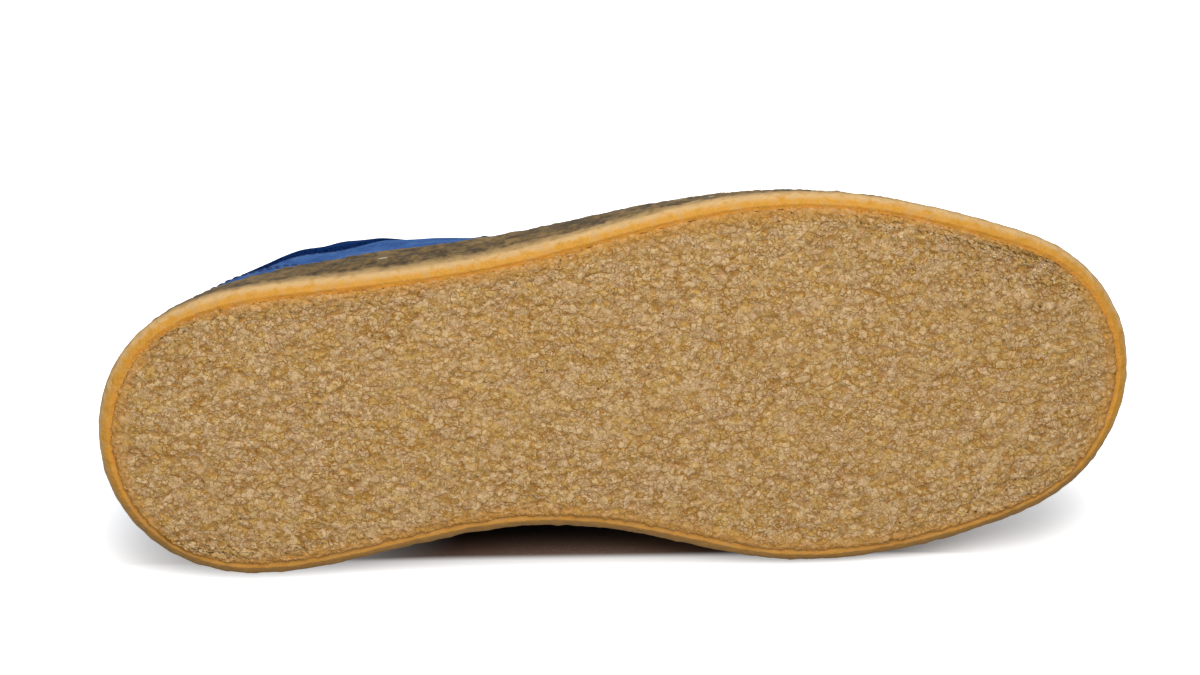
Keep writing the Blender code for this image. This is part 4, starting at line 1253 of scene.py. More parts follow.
# ---- the pieces
class SNEAKER_OT_stage(bpy.types.Operator):
    """Sets up the white floor, the soft lights and the camera"""

    bl_idname = "sneaker.stage"
    bl_label = "Stage"

    def execute(self, context):
        view = context.scene.sneaker_view
        bpy.ops.mesh.primitive_plane_add(size=12.0, location=(0.0, 0.0, -0.00005))
        floor = context.object
        floor.name = "floor"
        floor.data.materials.append(floor_finish())
        world = bpy.data.worlds.new("soft_studio")
        world.use_nodes = True
        sky = world.node_tree.nodes["Background"]
        sky.inputs["Color"].default_value = (1.0, 1.0, 1.0, 1.0)
        sky_wiring = Wiring(world.node_tree)
        seen = sky_wiring.add("ShaderNodeLightPath").outputs["Is Camera Ray"]
        sky_wiring.feed(sky.inputs["Strength"], sky_wiring.remap(seen, 0.0, 1.0, view.sky, 1.0))
        context.scene.world = world
        self.light(context, view.softbox)
        self.camera(context, view)
        context.scene.view_settings.view_transform = "Standard"
        return {"FINISHED"}

    def light(self, context, power):
        data = bpy.data.lights.new("softbox", "AREA")
        data.shape = "SQUARE"
        data.size, data.energy = SOFTBOX_SIZE, power
        light = bpy.data.objects.new("softbox", data)
        light.location = SOFTBOX_PLACE
        light.rotation_euler = (Vector(SOFTBOX_AIM) - Vector(SOFTBOX_PLACE)).to_track_quat("-Z", "Y").to_euler()
        context.scene.collection.objects.link(light)

    def camera(self, context, view):
        around, up = view.azimuth, view.elevation
        back = Vector((-math.sin(around) * math.cos(up), -math.cos(around) * math.cos(up), math.sin(up)))
        right = Vector((math.cos(around), -math.sin(around), 0.0))
        above = back.cross(right)
        aside, raised, height = (v * MM for v in view.aim)
        target = Vector((0.0, 0.0, height)) + right * aside + above * raised
        data = bpy.data.cameras.new("camera")
        data.sensor_width = 36.0
        data.lens = view.focal_length
        data.clip_end = 50.0
        camera = bpy.data.objects.new("camera", data)
        turned = Matrix((right, above, back)).transposed().to_4x4()
        camera.matrix_world = Matrix.Translation(target + back * view.distance) @ turned
        context.scene.collection.objects.link(camera)
        context.scene.camera = camera


class ChipField:
    """Heights and tones of a field of torn chips over the sole's plan, and its lowest place."""

    def __init__(self, sizes):
        rng = np.random.default_rng(CHIP_SEED)
        self.low, high = LINE.min(axis=0) - 3.0, LINE.max(axis=0) + 3.0
        self.count = np.ceil((high - self.low) / FIELD_STEP).astype(int)
        self.height = np.full(self.count, -1.0)
        self.tone = np.full(self.count, 0.5)
        for _ in range(sizes.chip_count):
            place = rng.uniform(self.low, high)
            length = np.clip(rng.lognormal(0.0, 0.4), 0.45, 2.4) * sizes.chip_length / 2
            width = np.clip(rng.lognormal(0.0, 0.3), 0.5, 2.0) * sizes.chip_width / 2
            turn = rng.normal(0.1, 0.6) if rng.random() < 0.6 else rng.uniform(0, math.pi)
            bend = rng.normal(0.0, 0.12)
            base, dome, shade = rng.uniform(-0.75, 0.25), rng.uniform(0.35, 0.8), rng.random()
            window, inside = self.spot(place, length, width, turn, bend)
            risen = np.where(inside > 0, base + dome * np.sqrt(np.maximum(inside, 0)), -1.0)
            above = risen > self.height[window]
            self.height[window] = np.where(above, risen, self.height[window])
            self.tone[window] = np.where(above, shade, self.tone[window])
        for _ in range(DASHES):
            place = rng.uniform(self.low, high)
            length, width = rng.uniform(0.7, 2.4), rng.uniform(0.28, 0.5)
            turn, bend = rng.normal(0.1, 0.7), rng.normal(0.0, 0.1)
            window, inside = self.spot(place, length, width, turn, bend, DASH_SPREAD)
            self.height[window] -= DASH_DEPTH * np.clip(inside, 0, 1)
        self.height = np.maximum(self.height, -1.0)

    def spot(self, place, length, width, turn, bend, full=1.0):
        """The window round a bent oval, and how far inside it each place there lies."""
        reach = length + width
        first = np.maximum(((place - reach - self.low) / FIELD_STEP).astype(int), 0)
        last = np.minimum(((place + reach - self.low) / FIELD_STEP).astype(int) + 1, self.count)
        x, y = (self.low[k] + np.arange(first[k], last[k]) * FIELD_STEP - place[k] for k in (0, 1))
        x, y = np.meshgrid(x, y, indexing="ij")
        along = x * math.cos(turn) + y * math.sin(turn)
        aside = y * math.cos(turn) - x * math.sin(turn) - bend * along**2
        inside = full - (along / length) ** 2 - (aside / width) ** 2
        return (slice(first[0], last[0]), slice(first[1], last[1])), inside

    def at(self, field, plan):
        """A field's values at places of the plan."""
        cells = np.clip((plan - self.low) / FIELD_STEP, 0, np.array(field.shape) - 1.001)
        base = cells.astype(int)
        part = cells - base
        i, j = base[..., 0], base[..., 1]
        a, b = part[..., 0], part[..., 1]
        return (
            field[i, j] * (1 - a) * (1 - b)
            + field[i + 1, j] * a * (1 - b)
            + field[i, j + 1] * (1 - a) * b
            + field[i + 1, j + 1] * a * b
        )


def plan_grid(inset, along, across):
    """A grid over the sole's plan between its two sides and its two ends."""
    sides = np.linspace(GRID_END, 1 - GRID_END, along + 1)
    tips = np.linspace(-GRID_END, GRID_END, across + 1)

    def line(turns):
        return sole_point(turns, inset(turns), 0.0)[..., :2]

    lateral, medial = line(sides), line(2 - sides)
    heel, toe = line(-tips), line(1 - tips)[::-1]
    u = np.linspace(0, 1, along + 1)[:, None, None]
    v = np.linspace(0, 1, across + 1)[None, :, None]
    made = (1 - v) * lateral[:, None] + v * medial[:, None] + (1 - u) * heel[None] + u * toe[None]
    corners = (
        (1 - u) * (1 - v) * lateral[0] + (1 - u) * v * medial[0] + u * (1 - v) * lateral[-1] + u * v * medial[-1]
    )
    return made - corners


def border(places):
    """The places round a grid, in order, starting from the middle of its first row."""
    ring = [*places[0, ::-1], *places[1:, 0], *places[-1, 1:], *places[-2:0:-1, -1]]
    start = len(places[0]) // 2
    return np.array([*ring[start:], *ring[:start]])


class SNEAKER_OT_tread(bpy.types.Operator):
    """Builds the crumbly crepe sheet under the sole"""

    bl_idname = "sneaker.tread"
    bl_label = "Tread"

    def execute(self, context):
        sizes = context.scene.sneaker_sizes
        chips = ChipField(sizes)
        rough = np.random.default_rng(EDGE_SEED).uniform(-1, 1, TREAD_EDGE_JAGS)
        places = np.linspace(0, 2, TREAD_EDGE_JAGS, endpoint=False)

        def ragged(turn):
            jag = np.interp(turn % 2, places, rough, period=2.0) * 0.3
            wave = grain(np.stack([turn * 250, turn * 0], axis=-1), 1.0, 9) * 0.28
            return RIM_WIDTH + GROOVE - 0.12 + jag + wave

        plan = plan_grid(ragged, *TREAD_CELLS)
        risen = chips.at(chips.height, plan)
        away = np.minimum.reduce([plan_distance(plan, axis) for axis in (0, 1)])
        flat = np.concatenate([plan, np.zeros_like(plan[..., :1])], axis=-1)
        lumps = 0.2 * grain(flat, 11.0, 41) + 0.13 * grain(flat, 5.0, 42) + 0.07 * grain(flat, 1.6, 43)
        out = sizes.chip_relief * (risen - 0.1) + lumps
        near = 1 - blend(away, 0.0, 1.1)
        drop = TREAD_EDGE * near**2
        z = spring(plan[..., 0]) - out * (1 - 0.6 * near) + drop
        skin = Skin()
        top = skin.grid(
            np.concatenate([plan, z[..., None]], axis=-1),
            high=np.clip((risen + 1) / 1.8, 0, 1),
            tone=chips.at(chips.tone, plan),
            edge=1 - blend(away, 0.4, 5.5),
        )
        ring = border(top)
        points = np.vstack(skin.points)[ring]
        rings = []
        for level in TREAD_SIDES:
            sunk = points.copy()
            sunk[:, 2] = level + spring(points[:, 0])
            rings.append(sunk)
        sides = skin.grid(np.array(rings), across=True, edge=1.0, high=0.3, tone=0.5)
        skin.bridge(ring, sides[0])
        skin.ladder(sides[-1])
        made_piece("tread_sheet", skin, [tread_finish()], "crepe_tread", "outsole_tread", sharp=180.0)
        return {"FINISHED"}


def plan_distance(plan, axis):
    """How far places of a plan grid lie from its border, measured along one of its axes."""
    steps = np.linalg.norm(np.diff(plan, axis=axis), axis=-1)
    zero = np.zeros_like(np.take(steps, [0], axis=axis))
    forward = np.concatenate([zero, np.cumsum(steps, axis=axis)], axis=axis)
    total = np.take(forward, [-1], axis=axis)
    return np.minimum(forward, total - forward)


class SNEAKER_OT_cup(bpy.types.Operator):
    """Builds the moulded cup with its rim and side wall"""

    bl_idname = "sneaker.cup"
    bl_label = "Cup"

    def execute(self, context):
        sizes = context.scene.sneaker_sizes
        turns = np.linspace(0, 2, CUP_COLUMNS, endpoint=False)
        x = edge(turns)[0][..., 0]
        lip, wall, bed = lip_in(turns, x), sole_size("wall", x), sole_size("bed", x)
        rings, marks = [], []

        def ring(inset, z, rim=0.0, groove=0.0, shoulder=0.0, rough=1.0):
            rings.append(sole_point(turns, np.broadcast_to(inset, turns.shape), np.broadcast_to(z, turns.shape)))
            marks.append((rim, groove, shoulder, rough))

        seat = RIM_WIDTH + GROOVE
        ring(seat, TREAD_THICKNESS + GAP, 1, 1, 0, 0)
        ring(seat, 0.8, 1, 1, 0, 0)
        ring(RIM_WIDTH + 0.4, 0.75, 1, 1, 0, 0.5)
        ring(RIM_WIDTH, 0.68, 1, 1, 0, 0.8)
        ring(RIM_WIDTH - 0.3, 0.52, 1, 0.8, 0)
        ring(RIM_WIDTH - 0.75, RIM_CREST + 0.02, 1, 0.4, 0)
        for bend in np.radians(np.linspace(16, 90, RIM_STEPS)):
            inset = RIM_WIDTH * (1 - math.sin(bend))
            z = RIM_CREST + (RIM_HEIGHT - RIM_CREST) * (1 - math.cos(bend))
            fade = 1 - 0.35 * float(blend(math.degrees(bend), 60, 90))
            near = 0.3 * (1 - float(blend(math.degrees(bend), 10, 34)))
            ring(inset, z, fade, near, float(blend(math.degrees(bend), 24, 62)))
        for part in np.linspace(0, 1, WALL_STEPS)[1:]:
            swell = WALL_BARREL * math.sin(math.pi * part)
            fade = 0.65 * (1 - float(blend(part, 0.0, 0.24)))
            ring(lip * part - swell, RIM_HEIGHT + (wall - RIM_HEIGHT) * part, fade, shoulder=1.0)
        for part in np.linspace(0, 1, LIP_STEPS)[1:]:
            turn = math.pi / 2 * part
            ring(lip + LIP_ROUND[0] * (1 - math.cos(turn)), wall + LIP_ROUND[1] * math.sin(turn), rough=0.7)
        for part in np.linspace(0, 1, LIP_STEPS)[1:]:
            inset = LIP_ROUND[0] + (LIP_THICKNESS - LIP_ROUND[0]) * part
            ring(lip + inset, wall + LIP_ROUND[1] * (1 - part), rough=0.4 * (1 - part))
        ring(lip + LIP_THICKNESS, bed, rough=0)
        base = np.array(rings)
        rim, groove, shoulder, rough = (np.array(column)[:, None] for column in zip(*marks))
        around = np.roll(base, -1, axis=1) - np.roll(base, 1, axis=1)
        normal = unit(np.cross(around, np.gradient(base, axis=0)))
        middle = base.mean(axis=(0, 1))
        if np.sum((base[20] - middle) * normal[20]) < 0:
            normal = -normal
        first, second, number = pebbles(base, PEBBLE_SIZE, 60)
        pebble = np.clip(1.3 * (second - first), 0, 1) ** 0.6 - 0.6 + 0.3 * number
        coarse = grain(base, 4.2, 61)
        small = grain(base, 1.5, 62)
        bumps = grain(base, 2.6, 63) + 0.5 * grain(base, 1.2, 64)
        wall_out = sizes.wall_relief * (0.5 * pebble + 0.45 * coarse + 0.3 * small)
        rim_out = sizes.rim_relief * bumps
        out = (rim * rim_out + (1 - rim) * wall_out) * rough
        skin = Skin()
        hollow = np.clip(0.5 - 0.6 * pebble - 0.35 * coarse, 0, 1)
        places = skin.grid(
            base + normal * out[..., None], across=True, rim=rim, groove=groove, shoulder=shoulder, hollow=hollow
        )
        skin.ladder(places[0])
        skin.ladder(places[-1])
        made_piece("crepe_cup", skin, [side_finish()], "crepe_side", "sole_cup", sharp=75.0)
        return {"FINISHED"}


class SNEAKER_OT_insole(bpy.types.Operator):
    """Builds the sock on the cup's bed"""

    bl_idname = "sneaker.insole"
    bl_label = "Insole"

    def execute(self, context):
        turns = np.linspace(0, 2, INSOLE_COLUMNS, endpoint=False)
        foot = sole_size("bed", edge(turns)[0][..., 0]) + GAP
        edge_top, bowl = INSOLE_RINGS
        top = INSOLE + INSOLE_CUP
        shoulder = top - 0.1
        # in from the side, up from the bed
        levels = [(0.0, 0.0), (0.0, 0.5 * top), (0.0, top - 0.7), (0.3, top - 0.2), (edge_top / 2, top)]
        levels.append((edge_top, shoulder))
        for part in np.linspace(0, 1, 9)[1:]:
            sunk = 1 - float(blend(part, 0, 1))
            levels.append((edge_top + (bowl - edge_top) * part, INSOLE + (shoulder - INSOLE) * sunk))
        rings = [sole_point(turns, self.side(turns) + inset, foot + above) for inset, above in levels]
        skin = Skin()
        outer = skin.grid(np.array(rings), across=True)
        plan = plan_grid(lambda turn: self.side(turn) + bowl, *INSOLE_CELLS)
        z = sole_size("bed", plan[..., 0]) + GAP + INSOLE + spring(plan[..., 0])
        z = z - 0.8 * np.exp(-(((plan[..., 0] - 46) / 26) ** 2) - ((plan[..., 1] - 3) / 20) ** 2)
        z = z + 0.12 * grain(np.concatenate([plan, plan[..., :1] * 0], axis=-1), 16.0, 77)
        inner = skin.grid(np.concatenate([plan, z[..., None]], axis=-1))
        skin.bridge(outer[-1], border(inner))
        skin.ladder(outer[0])
        made_piece("insole_sock", skin, [insole_finish()], "insole_cloth", "insole")
        return {"FINISHED"}

    def side(self, turn):
        """How far in from the widest line the sock's side stands."""
        return lip_in(turn, edge(turn)[0][..., 0]) + LIP_THICKNESS + WALL + 3 * GAP


def band_at(turn):
    """The height of the collar's outer band, which tapers towards its ends."""
    share = share_of(turn)
    return BAND - (BAND - BAND_END) * blend(share, BAND_TAPER, 2 * COLLAR_END / COLUMNS)


def suede_top(turn):
    """How far up the sides the suede runs: to the collar's seam, or to the top."""
    column = share_of(turn) * COLUMNS / 2
    under = side_height(turn, band_at(turn) + COLLAR_SEAM)
    return np.where(column > COLLAR_END + 0.01, 1.0, under)


def eyelet_places():
    """The share of each pair of eyelets and how far they lie from the crest, from the top down."""
    shares = np.linspace(*EYELET_SHARES, EYELET_PAIRS)
    return list(zip(shares, arch_half(shares) + EYELET_IN))


def punch(mesh, name):
    """A copy of a mesh with the eyelets punched through."""
    cutter_skin = bmesh.new()
    for share, across in eyelet_places():
        for side in (-1, 1):
            normal = Vector((instep_normal(share, side * across)) @ LYING.T)
            centre = Vector(lay(instep_point(share, side * across)))
            place = Matrix.Translation(centre) @ normal.to_track_quat("Z", "Y").to_matrix().to_4x4()
            bmesh.ops.create_cone(
                cutter_skin,
                cap_ends=True,
                segments=EYELET_SIDES,
                radius1=EYELET_DIAMETER / 2 * MM,
                radius2=EYELET_DIAMETER / 2 * MM,
                depth=EYELET_PUNCH * MM,
                matrix=place,
            )
    cutter_mesh = bpy.data.meshes.new("eyelet_punch")
    cutter_skin.to_mesh(cutter_mesh)
    cutter_skin.free()
    for finish in mesh.materials:
        cutter_mesh.materials.append(finish)
    cutter = bpy.data.objects.new("eyelet_punch", cutter_mesh)
    target = bpy.data.objects.new(name + "_uncut", mesh)
    for made in (cutter, target):
        bpy.context.scene.collection.objects.link(made)
    cut = target.modifiers.new("eyelets", "BOOLEAN")
    cut.operation = "DIFFERENCE"
    cut.solver = "MANIFOLD"
    cut.object = cutter
    view = bpy.context.evaluated_depsgraph_get()
    punched = bpy.data.meshes.new_from_object(target.evaluated_get(view))
    punched.name = name
    for made in (cutter, target):
        bpy.data.objects.remove(made)
    return punched


class SNEAKER_OT_upper(bpy.types.Operator):
    """Builds the hollow suede vamp and quarters with their lining"""

    bl_idname = "sneaker.upper"
    bl_label = "Upper"

    def execute(self, context):
        turns = np.arange(UPPER_COLUMNS) * 2 / UPPER_COLUMNS
        tops = suede_top(turns)
        heights = np.concatenate([[-1.0, -0.5], np.linspace(0, 1, UPPER_ROWS)])[:, None]
        turn = np.broadcast_to(turns, (len(heights), len(turns)))
        height = np.where(heights < 0, heights, heights * tops)
        base, normal = side_point(turn, height), side_normal(turn, np.maximum(height, 0.0))
        soft = relief(base) * blend(height, 0.0, 0.12)
        outer = base + normal * soft[..., None]
        inner = base - normal * (WALL - 0.5 * soft)[..., None]
        cut = blend(heights, 0.985, 1.0) * (share_of(turn) < VAMP_SHARE)
        skin = layers([{"outer": outer, "inner": inner, "closed": True, "values": {"cut": cut}}])
        mesh = skin.mesh("suede_upper", [once("napped_suede", suede_finish), once("knitted_lining", lining_finish)])
        outwards(mesh)
        place_piece("suede_upper", punch(mesh, "suede_upper"), "blue_suede", "upper")
        return {"FINISHED"}


def rounded(away, radius, thickness):
    """The height of an overlay's face that rounds off towards its cut edge."""
    near = np.clip(1 - away / radius, 0, 1)
    return thickness - np.minimum(radius, thickness) * (1 - np.sqrt(np.maximum(1 - near**2, 0.0)))


def overlay_strip(turn, height, thickness, away, flip=False):
    """One strip of an overlay at heights up the side: its face and its back, so far away from its cut edges."""
    away = np.maximum(away, 0)
    base, normal = side_point(turn, height), side_normal(turn, height)
    soft = OVERLAY_SEAT + relief(base)
    face = base + normal * (soft + rounded(away, 0.7, thickness))[..., None]
    back = base + normal * soft[..., None]
    # the cut value darkens the face near its cut edges: edge dye, and a painted shadow line along them
    return {"outer": face, "inner": back, "values": {"cut": 1 - blend(away, 0.1, 0.9)}, "flip": flip}


def edge_spaced(count, length, near=0.9):
    """Parts from 0 to 1 along a length, closer together in the last bit at each end."""
    fine = np.array([0.0, 0.12, 0.3, 0.55]) * near / length
    middle = np.linspace(near / length, 1 - near / length, count)
    return np.concatenate([fine, middle, (1 - fine)[::-1]])


class SNEAKER_OT_overlays(bpy.types.Operator):
    """Builds the heel counter and the lace stay"""

    bl_idname = "sneaker.overlays"
    bl_label = "Overlays"

    def execute(self, context):
        suede = once("napped_suede", suede_finish)
        thickness = OVERLAY - OVERLAY_SEAT
        end = COUNTER_END - 1
        columns = (edge_spaced(120, 80.0) * 2 - 1) * end
        parts = edge_spaced(26, 40.0)[:, None]
        turn = np.broadcast_to(turn_of(columns), (len(parts), len(columns)))
        rise, low, length = counter_rise(columns)
        height = low + (rise / length - low) * parts
        size = rise - COUNTER_FOOT
        away = np.minimum(np.minimum(parts, 1 - parts) * size, (end - np.abs(columns)) * 8.0)
        strip = overlay_strip(turn, height, thickness, away)
        made_piece("heel_counter_patch", layers([strip]), [suede, suede], "blue_suede", "heel_counter", sharp=80.0)

        strips = []
        for side in (1, -1):
            columns = STAY_START + (STAY_END - STAY_START) * edge_spaced(100, 100.0, 0.7)
            parts = edge_spaced(24, 22.0)[:, None]
            turn = np.broadcast_to(turn_of(side * columns), (len(parts), len(columns)))
            width = stay_width(turn)
            inner_away = np.where(share_of(turn) >= VAMP_SHARE, 9.0, parts * width)
            away = np.minimum(inner_away, (1 - parts) * width)
            away = np.minimum(away, (columns - STAY_START) * 7.0)
            thin = 0.35 + (thickness - 0.35) * blend(columns - STAY_START, 0.0, 1.3)
            strips.append(overlay_strip(turn, side_height(turn, width * parts), thin, away, flip=side < 0))
        mesh = layers(strips).mesh("lace_stay", [suede, suede])
        outwards(mesh)
        place_piece("lace_stay", punch(mesh, "lace_stay"), "blue_suede", "eyestay", sharp=80.0)
        return {"FINISHED"}


def stay_width(turn):
    """How far down a side the stay's outer edge runs from the top."""
    share = share_of(turn)
    return monotone(STAY["share"], STAY["across"], share, flat=False) - arch_half(share)


def counter_rise(columns):
    """How high the counter stands at its columns, where it starts, and how long the side is there."""
    turn = turn_of(columns)
    full = side_height(turn, np.zeros_like(turn))
    length = np.linalg.norm(side_point(turn, full) - side_point(turn, np.zeros_like(turn)), axis=-1)
    round_top, flat_end = COUNTER_CURVES
    rise = COUNTER_HEIGHT * (1 - (np.abs(columns) / COUNTER_END) ** round_top) ** flat_end
    return rise, COUNTER_FOOT / length, length


class SNEAKER_OT_collar(bpy.types.Operator):
    """Builds the padded collar and its lining"""

    bl_idname = "sneaker.collar"
    bl_label = "Collar"

    def execute(self, context):
        reach = COLLAR_END - COLLAR_CLEAR
        columns = np.linspace(-reach, reach, COLLAR_COLUMNS)
        turn = turn_of(columns)
        onward = side_top(turn)[1]
        band = band_at(turn)
        full = (band / BAND) ** 2
        near_end = blend(share_of(turn), BAND_TAPER, turn_of(COLLAR_END))
        back = -WALL - 3 * GAP
        seat = back - COLLAR_BACK * GAP * near_end
        lining_end = COLLAR_ROLL[-1][0]
        nothing = np.zeros_like(turn)
        roll = [(band, nothing - 0.3), (band - 0.5 * full, 0.45 * full), (band - 1.9 * full, 1.05 * full)]
        roll += [((band + COLLAR_ROLL[0][0]) / 2, COLLAR_SWELL * full + 0.4 * full)]
        roll += [(nothing + down, nothing + out) for down, out in COLLAR_ROLL]
        padding = 1 - (1 - COLLAR_THIN) * near_end
        rows = []
        for down, out in roll:
            out = np.where(out < back, seat + (out - back) * padding, out)
            height = side_height(turn, np.maximum(down, 0.0))
            face = side_point(turn, height) + side_normal(turn, height) * out[:, None]
            rows.append(face + onward * np.maximum(-down, 0.0)[:, None])
        for part in COLLAR_SEAT:
            down = lining_end + (band - lining_end) * part
            height = side_height(turn, down)
            rows.append(side_point(turn, height) + side_normal(turn, height) * seat[:, None])
        rows = through(np.array(rows), SOFT_STEPS, closed=True)
        count = len(rows)
        ring = np.arange(count)[:, None] / count
        padded = blend(ring, 0.16, 0.3) * (1 - blend(ring, 0.72, 0.8))
        stretched = rows * np.array([1.0, 1.0, 0.35])
        pucker = 0.3 * grain(stretched, 6.5, 81) + 0.12 * grain(stretched, 2.8, 82)
        out = pucker * (0.25 + 0.75 * padded) * (1 - 0.6 * near_end)
        skin = Skin()
        skin.tube(rows + tube_normals(rows) * out[..., None])
        piece = made_piece("padded_collar", skin, [once("knitted_lining", lining_finish)], "navy_lining", "collar")
        return {"FINISHED"}


def tongue_sections():
    """The tongue's cross sections, from under the vamp to its free end: outer face, then inner face."""
    foot_half, top_half = TONGUE_HALF
    under = WALL + 5 * GAP
    sections = []
    for share in np.linspace(TONGUE_FOOT, TONGUE_TOP, 12):
        up = (TONGUE_FOOT - share) / (TONGUE_FOOT - TONGUE_TOP)
        half = foot_half + (top_half - foot_half) * blend(up, 0.0, 0.5)
        open_half = float(arch_half(share))
        across = np.linspace(-half, half, TONGUE_POINTS)
        puff = TONGUE_PUFF * (1 - blend(np.abs(across), open_half * 0.4, open_half * 0.9 + 0.1))
        puff = puff * blend(open_half, 4.0, 9.0)
        body = TONGUE_THICKNESS * (0.5 + 0.5 * (1 - (across / half) ** 4)) * (0.6 + 0.4 * blend(up, 0.1, 0.5))
        normal, point = instep_normal(share, across), instep_point(share, across)
        outer = point - normal * (under - puff)[:, None]
        inner = point - normal * (under + body)[:, None]
        sections.append(np.vstack([outer, inner[::-1]]))
    middle = instep_point(TONGUE_TOP, 0.0) - instep_normal(TONGUE_TOP, 0.0) * (under - TONGUE_PUFF)
    for length, climb, half, droop, body in TONGUE_TIP:
        climb = math.radians(climb)
        middle = middle + length * np.array([-math.cos(climb), 0.0, math.sin(climb)])
        facing = np.array([math.sin(climb), 0.0, math.cos(climb)])
        part = np.linspace(-1, 1, TONGUE_POINTS)[:, None]
        outer = middle + np.array([0.0, 1.0, 0.0]) * half * part - facing * droop * part * part
        inner = outer - facing * body * (1 - part**4 / 2)
        sections.append(np.vstack([outer, inner[::-1]]))
    return np.array(sections)


class SNEAKER_OT_tongue(bpy.types.Operator):
    """Builds the padded tongue"""

    bl_idname = "sneaker.tongue"
    bl_label = "Tongue"

    def execute(self, context):
        sections = through(tongue_sections(), SOFT_STEPS)
        rows = through(sections.transpose(1, 0, 2), SOFT_STEPS, closed=True)
        pucker = 0.2 * grain(rows, 8.0, 91) + 0.08 * grain(rows, 3.0, 92)
        skin = Skin()
        skin.tube(rows + tube_normals(rows) * pucker[..., None], cut=0.0)
        piece = made_piece("padded_tongue", skin, [once("napped_suede", suede_finish)], "blue_suede", "tongue")
        return {"FINISHED"}


# ---- the lacing: every stop of a run is (share, across, out from the suede, width, thickness)
def ribbon(skin, stops, steps):
    """A flat lace along a smooth curve through stops on the instep."""
    share, across, out, width, thickness = through(np.array(stops, float), steps).T
    normal = instep_normal(share, across)
    centre = instep_point(share, across) + normal * out[:, None]
    run = np.gradient(centre, axis=0)
    flat = run - normal * np.sum(run * normal, axis=1, keepdims=True)
    weight = np.hanning(LACE_STEADY)[:, None]
    spare = LACE_STEADY // 2
    padded = np.pad(flat, ((spare, spare), (0, 0)), mode="edge")
    flat = np.array([(padded[i : i + LACE_STEADY] * weight).sum(axis=0) for i in range(len(flat))])
    side = unit(np.cross(normal, flat))
    face = unit(np.cross(unit(run), side))
    along = np.concatenate([[0.0], np.cumsum(np.linalg.norm(np.diff(centre, axis=0), axis=1))])
    angles = np.linspace(0, 2 * math.pi, LACE_SIDES, endpoint=False)
    over, up = (
        np.sign(wave) * np.abs(wave) ** power for wave, power in zip((np.cos(angles), np.sin(angles)), LACE_POWERS)
    )
    rows = (
        centre[:, None]
        + side[:, None] * (over[None, :] * width[:, None] / 2)[..., None]
        + face[:, None] * (up[None, :] * thickness[:, None] / 2)[..., None]
    )
    skin.tube(rows, across=True, along=along[:, None], over=over[None, :] * 3.0)


class SNEAKER_OT_laces(bpy.types.Operator):
    """Runs the flat laces through the eyelets"""

    bl_idname = "sneaker.laces"
    bl_label = "Laces"

    def execute(self, context):
        sizes = context.scene.sneaker_sizes
        wide, thick = sizes.lace_width, sizes.lace_thickness
        above = OVERLAY + thick / 2 + LACE_CLEAR
        places = eyelet_places()
        skin = Skin()
        foot, far = places[-1]
        bar = [(foot, -far, out, *PINCHED) for out in (LACE_UNDER + 1.2, 0.4, OVERLAY + 0.4)]
        bar.append((foot, 2.4 - far, above + 0.25, 5.2, thick))
        bar.append((foot, -far / 2, above, wide, thick))
        bar.append((foot, 0.0, above - 0.2, wide, thick))
        bar += [(share, -across, *rest) for share, across, *rest in bar[-2::-1]]
        ribbon(skin, bar, 12)
        for higher, lower in reversed(list(zip(places, places[1:]))):
            for side in (-1, 1):
                self.crossing(skin, lower, higher, side, lower == places[-1], wide, thick)
        made_piece("flat_laces", skin, [lace_finish()], "navy_lace", "laces")
        return {"FINISHED"}

    def crossing(self, skin, lower, higher, side, hidden, wide, thick):
        """One strand from a lower eyelet to the next one up on the other side, and up through it."""
        (low, low_far), (high, high_far) = lower, higher
        above = OVERLAY + thick / 2 + LACE_CLEAR
        lift = 0.0 if side < 0 else LACE_LIFT
        reach = low_far + high_far
        lip = (low_far - float(arch_half((low + high) / 2)) + 0.5) / reach

        def mid(part):
            return low + (high - low) * part, -side * low_far + side * reach * part

        start, end = (low, -side * low_far), (high, side * high_far)
        if hidden:
            stops = [
                (start, LACE_UNDER, PINCHED),
                (mid(0.12), LACE_UNDER - 0.1, (4.6, 1.2)),
                (mid(lip + 0.05), LACE_UNDER, (5.2, 1.2)),
                (mid(0.5), -0.9 + lift, (wide - 0.3, thick)),
            ]
        else:
            stops = [(start, out, PINCHED) for out in (LACE_UNDER + 0.8, 0.2, OVERLAY + 0.3)]
            stops.append((mid(2.3 / reach), above + 0.3, (4.9, thick)))
            stops.append((mid(lip), above, (wide, thick)))
            stops.append((mid(0.5), -0.1 + lift, (wide, thick)))
        stops.append((mid(1 - lip - 0.03), LACE_UNDER + 0.35, (5.4, 1.2)))
        stops.append((mid(0.93), LACE_UNDER - 0.1, (4.4, 1.2)))
        stops += [(end, out, PINCHED) for out in (LACE_UNDER + 0.2, 0.2)]
        if high == EYELET_SHARES[0]:
            stops.append((end, OVERLAY + 0.7, (3.4, 2.2)))
        ribbon(skin, [(*place, out, *size) for place, out, size in stops], 9)


